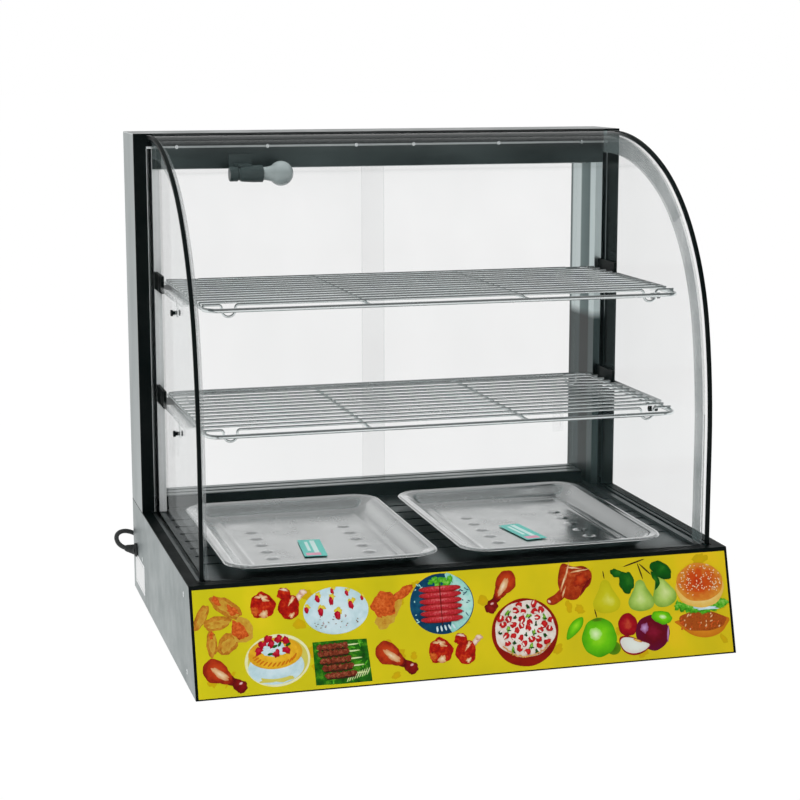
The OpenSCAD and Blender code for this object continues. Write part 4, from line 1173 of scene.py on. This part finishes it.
def draw_roast_leg(p):
    p.add("roast", rounded([(-11, -5), (-20, -11), (-29.5, -15.5), (-29, -21), (-22, -23), (-14, -19.5),
                            (-7, -14)]))
    p.add("roast", rounded([(-7, 25), (6, 20.5), (20, 20), (29, 11), (26, -2), (16, -9), (7.5, -18.5),
                            (-7, -16),
                            (-14, -2), (-13, 12)]), (-0.2, 0.2))
    for u, v, long, turn in ((-7, 4, 13, 68), (-2, 15, 10, 74), (13, 15, 11, 8), (6, 19, 9, -6),
                             (-8, -9, 6, 70)):
        p.add("cream", oval(u, v, long, 1.1, turn, 0.3, 81), rings=FLAT)
    p.add("knuckle", oval(20, -4, 11, 2, 52, 0.2, 82), rings=FLAT)
    p.add("glaze", oval(14, 4, 9, 7, 50, 0.2, 83))
    p.dot("bone", -27, -18.5, 2.4, 1.6, -40)


def pear_outline(u, v, wide, tall, turn=0):
    """Round below and narrow above."""
    half = ((0, 1), (0.3, 0.86), (0.46, 0.5), (0.72, 0.12), (1, -0.36), (0.78, -0.82))
    points = list(half) + [(0, -1)] + [(-a, b) for a, b in reversed(half[1:])]
    c, s = math.cos(math.radians(turn)), math.sin(math.radians(turn))
    return rounded([(u + a * wide * c - b * tall * s, v + a * wide * s + b * tall * c) for a, b in points],
                   3)


def draw_yellow_pear(p):
    p.dot("stem", -1, 21, 0.7, 5, 6)
    p.add("pear_yellow", pear_outline(0, -5, 17.5, 20), (0.15, -0.2))


def draw_green_pears(p):
    for u, v, long, turn in ((-7, 26.5, 15, 15), (0, 16, 10.5, 106), (6.5, 18, 10.5, 135)):
        p.dot("stem", u, v, long, 0.95, turn)
    p.add("leaf", oval(-30, 15.5, 8.5, 5, -20, 0.12, 90), (0.3, 0.2))
    p.add("pear", pear_outline(27, -9, 15.5, 20, 14), (0.1, -0.1))
    p.add("leaf", oval(-18.5, 4, 9.5, 13.5, 12, 0.1, 91), (0.2, 0.3))
    p.add("leaf", oval(27, 15.5, 15, 9.5, -32, 0.06, 92), (0.3, 0.3))
    p.add("leaf", rounded([(14, 15), (22, 8), (24, -1), (17, -8), (20, 0), (15, 7)]))
    p.add("pear", pear_outline(-1.5, -13, 16.8, 18.8), (-0.1, -0.2))


def draw_green_apple(p):
    p.add("shadow", oval(27, -17.5, 9, 8, 0))
    p.add("lime", rounded([(-31, -3), (-28, 10), (-20, 19), (-9, 22), (-10, 12), (-20, 2)]), (0.2, 0.3))
    p.add("lime", oval(10, -3.5, 22.2, 23, 0, 0.025, 93, 40), (-0.15, 0.1))
    p.add("shine", oval(5.5, 1, 8, 7.5, 0, 0.08, 94), (0, 0))
    p.add("shadow", oval(9, 17.4, 6.5, 2, 0))
    p.dot("stem", 8, 25, 0.8, 5.5, 12)


def draw_red_apples(p):
    p.add("red_apple", oval(-22.5, 11.5, 12.6, 13.5, 0, 0.03, 95, 32), (0.1, 0.1))
    p.add("maroon", oval(8.5, 0, 21.5, 21.5, 0, 0.025, 96, 40), (0.1, 0.1))
    p.add("violet", oval(-1.5, 6, 4.8, 6.5, -10, 0.15, 97), (0, 0))
    p.add("violet", oval(28, -3, 1.3, 10, -8), rings=FLAT)
    p.add("lime", oval(22, 17, 13, 8, -12, 0.07, 98), (0.1, 0.2))
    p.add("shine", oval(23, 17.5, 5, 2.6, -10), rings=FLAT)
    p.add("red_apple", rounded([(-35, -9), (-33, -2), (-22, -2), (-8, -8), (4, -14), (-4, -22), (-18, -25),
                                (-30, -20)]))
    p.add("flesh", rounded([(-34, -8.5), (-30, -3.4), (-20, -4), (-8, -9), (3, -14), (-5, -20.6),
                            (-18, -22.8),
                            (-29, -18.6)]))
    p.add("grain", oval(-12, -8, 6, 1.3, -22), rings=FLAT)


def draw_burger(p):
    p.size = 0.97
    p.add("bun_base", rounded([(-31, -31), (-33, -24), (32, -24), (31, -36), (20, -45), (2, -48),
                               (-16, -43)]), (0, -0.2))
    p.add("patty", oval(0, -27, 32, 12.5, -3, 0.05, 101, 40))
    rng = random.Random(9)
    for k in range(38):
        u = rng.uniform(-29, 29)
        p.dot("crisp" if k % 3 else "cream", u, -27 + rng.uniform(-9, 9), rng.uniform(1, 3), 1,
              rng.uniform(0, 90), 8)
    for k in range(15):
        u = -31 + 4.4 * k
        dip = 8 * math.sin(math.pi * k / 14)
        p.add("lettuce", oval(u, -6 - dip * 0.8, 5, 5.4, 20 * k, 0.28, 110 + k, 16), (0, 0.4),
              (1, 0.7, 0.4))
    p.add("icing", oval(4, -11, 16, 2.6, -3, 0.3, 130), rings=FLAT)
    p.add("bun_pale", oval(0.5, 14, 32, 25, 0, 0.02, 131, 40), (0, -0.5))
    p.add("bun", oval(0.5, 21, 31, 24, 0, 0.02, 132, 40), (-0.1, 0.0))
    for k in range(120):
        r, a = math.sqrt(rng.random()), rng.uniform(0, math.tau)
        p.dot("seed", 0.5 + 28.5 * r * math.cos(a), 23 + 21 * r * math.sin(a), 0.95, 0.55,
              rng.uniform(0, 180), 6)


def draw_patches(p):
    """Faint warmer patches in the printed field, below the pictures."""
    p.lift, p.step = PATCH_LIFT, PATCH_STEP
    rng = random.Random(31)
    for k in range(34):
        u, v = rng.uniform(-318, 318), rng.uniform(8, 118)
        p.add("gold", oval(u, v, rng.uniform(3, 11), rng.uniform(2, 8), rng.uniform(0, 90), 0.2, k, 16),
              rings=(1, 0.7))


PICTURES = [
    ("patches", 0, 0, draw_patches),
    ("fried_pieces", -294, 81, draw_fried_pieces),
    ("drumstick_left", -295, 25, draw_drumstick, (-11, 6.5), 14, (15.5, -11.5), -38),
    ("glazed_left", -230, 101, draw_glazed_pair),
    ("white_cake", -162, 89, draw_white_cake),
    ("cream_cake", -235, 38, draw_cream_cake),
    ("skewers", -159, 30, draw_skewers),
    ("fried_leg", -96, 87, draw_fried_leg),
    ("sausage_plate", -35, 87, draw_sausage_plate),
    ("drumstick_middle", -94, 29, draw_drumstick, (-11, 6.5), 14, (15.5, -11.5), -38),
    ("glazed_right", -24, 33, draw_glazed_pair),
    ("drumstick_right", 37, 94, draw_drumstick, (8, 12.5), 13, (-11.5, -14.5), 56),
    ("pizza", 64, 46, draw_pizza),
    ("roast_leg", 124, 98, draw_roast_leg),
    ("yellow_pear", 169, 85, draw_yellow_pear),
    ("green_pears", 215, 91, draw_green_pears),
    ("green_apple", 146, 36, draw_green_apple),
    ("red_apples", 216, 33, draw_red_apples),
    ("burger", 290, 68, draw_burger),
]

for name, u, v, draw, *shape in PICTURES:
    picture = Picture(name, u, v)
    draw(picture, *shape)
    picture.finish()


# ---- Light and floor -------------------------------------------------------


STAGE_SIZE = 40.0


def make_stage():
    """White glowing floor, and a white sky that dims towards the front and overhead."""
    s = Shader("studio_floor")
    grain = s.noise(s.place(), 3, 4)
    s.set(Base_Color=s.ramp(grain, [(0.3, (0.004, 0.004, 0.004)), (0.7, (0.006, 0.006, 0.006))]),
          Roughness=1.0)
    s.set(Specular_IOR_Level=0.0, Emission_Color=(1, 1, 1, 1), Emission_Strength=1.0)
    corners = [(x * STAGE_SIZE, y * STAGE_SIZE, 0) for x, y in ((-1, -1), (1, -1), (1, 1), (-1, 1))]
    floor = mesh_object("studio_floor", corners, [(0, 1, 2, 3)], s.mat, body=None)
    world = bpy.data.worlds.new("studio")
    world.use_nodes = True
    tree = world.node_tree
    direction = tree.nodes.new("ShaderNodeTexCoord")
    axis = tree.nodes.new("ShaderNodeSeparateXYZ")
    tree.links.new(direction.outputs["Generated"], axis.inputs["Vector"])
    shares = []
    for socket, start, end, dark, bright in (("Y", -0.25, 0.1, 0.4, 1.0), ("Z", 0.4, 0.08, 0.35, 1.0)):
        span = tree.nodes.new("ShaderNodeMapRange")
        tree.links.new(axis.outputs[socket], span.inputs["Value"])
        span.inputs["From Min"].default_value = start
        span.inputs["From Max"].default_value = end
        span.inputs["To Min"].default_value = dark
        span.inputs["To Max"].default_value = bright
        shares.append(span.outputs["Result"])
    product = tree.nodes.new("ShaderNodeMath")
    product.operation = "MULTIPLY"
    tree.links.new(shares[0], product.inputs[0])
    tree.links.new(shares[1], product.inputs[1])
    background = tree.nodes["Background"]
    background.inputs["Color"].default_value = (1, 1, 1, 1)
    tree.links.new(product.outputs[0], background.inputs["Strength"])
    bpy.context.scene.world = world


def area_light(name, place, target, size, power):
    data = bpy.data.lights.new(name, "AREA")
    data.shape = "RECTANGLE"
    data.size, data.size_y = size
    data.energy = power
    light = bpy.data.objects.new(name, data)
    bpy.context.scene.collection.objects.link(light)
    light.location = place
    light.visible_glossy = False
    light.rotation_euler = (Vector(target) - Vector(place)).to_track_quat("-Z", "Y").to_euler()


make_stage()
area_light("key", (-1.6, -2.2, 2.4), (0, 0, 0.2), (1.6, 1.6), 75)
area_light("top", (0.2, 0.3, 2.6), (0, 0, 0.3), (2.2, 1.6), 50)
bpy.context.scene.view_settings.view_transform = "Standard"
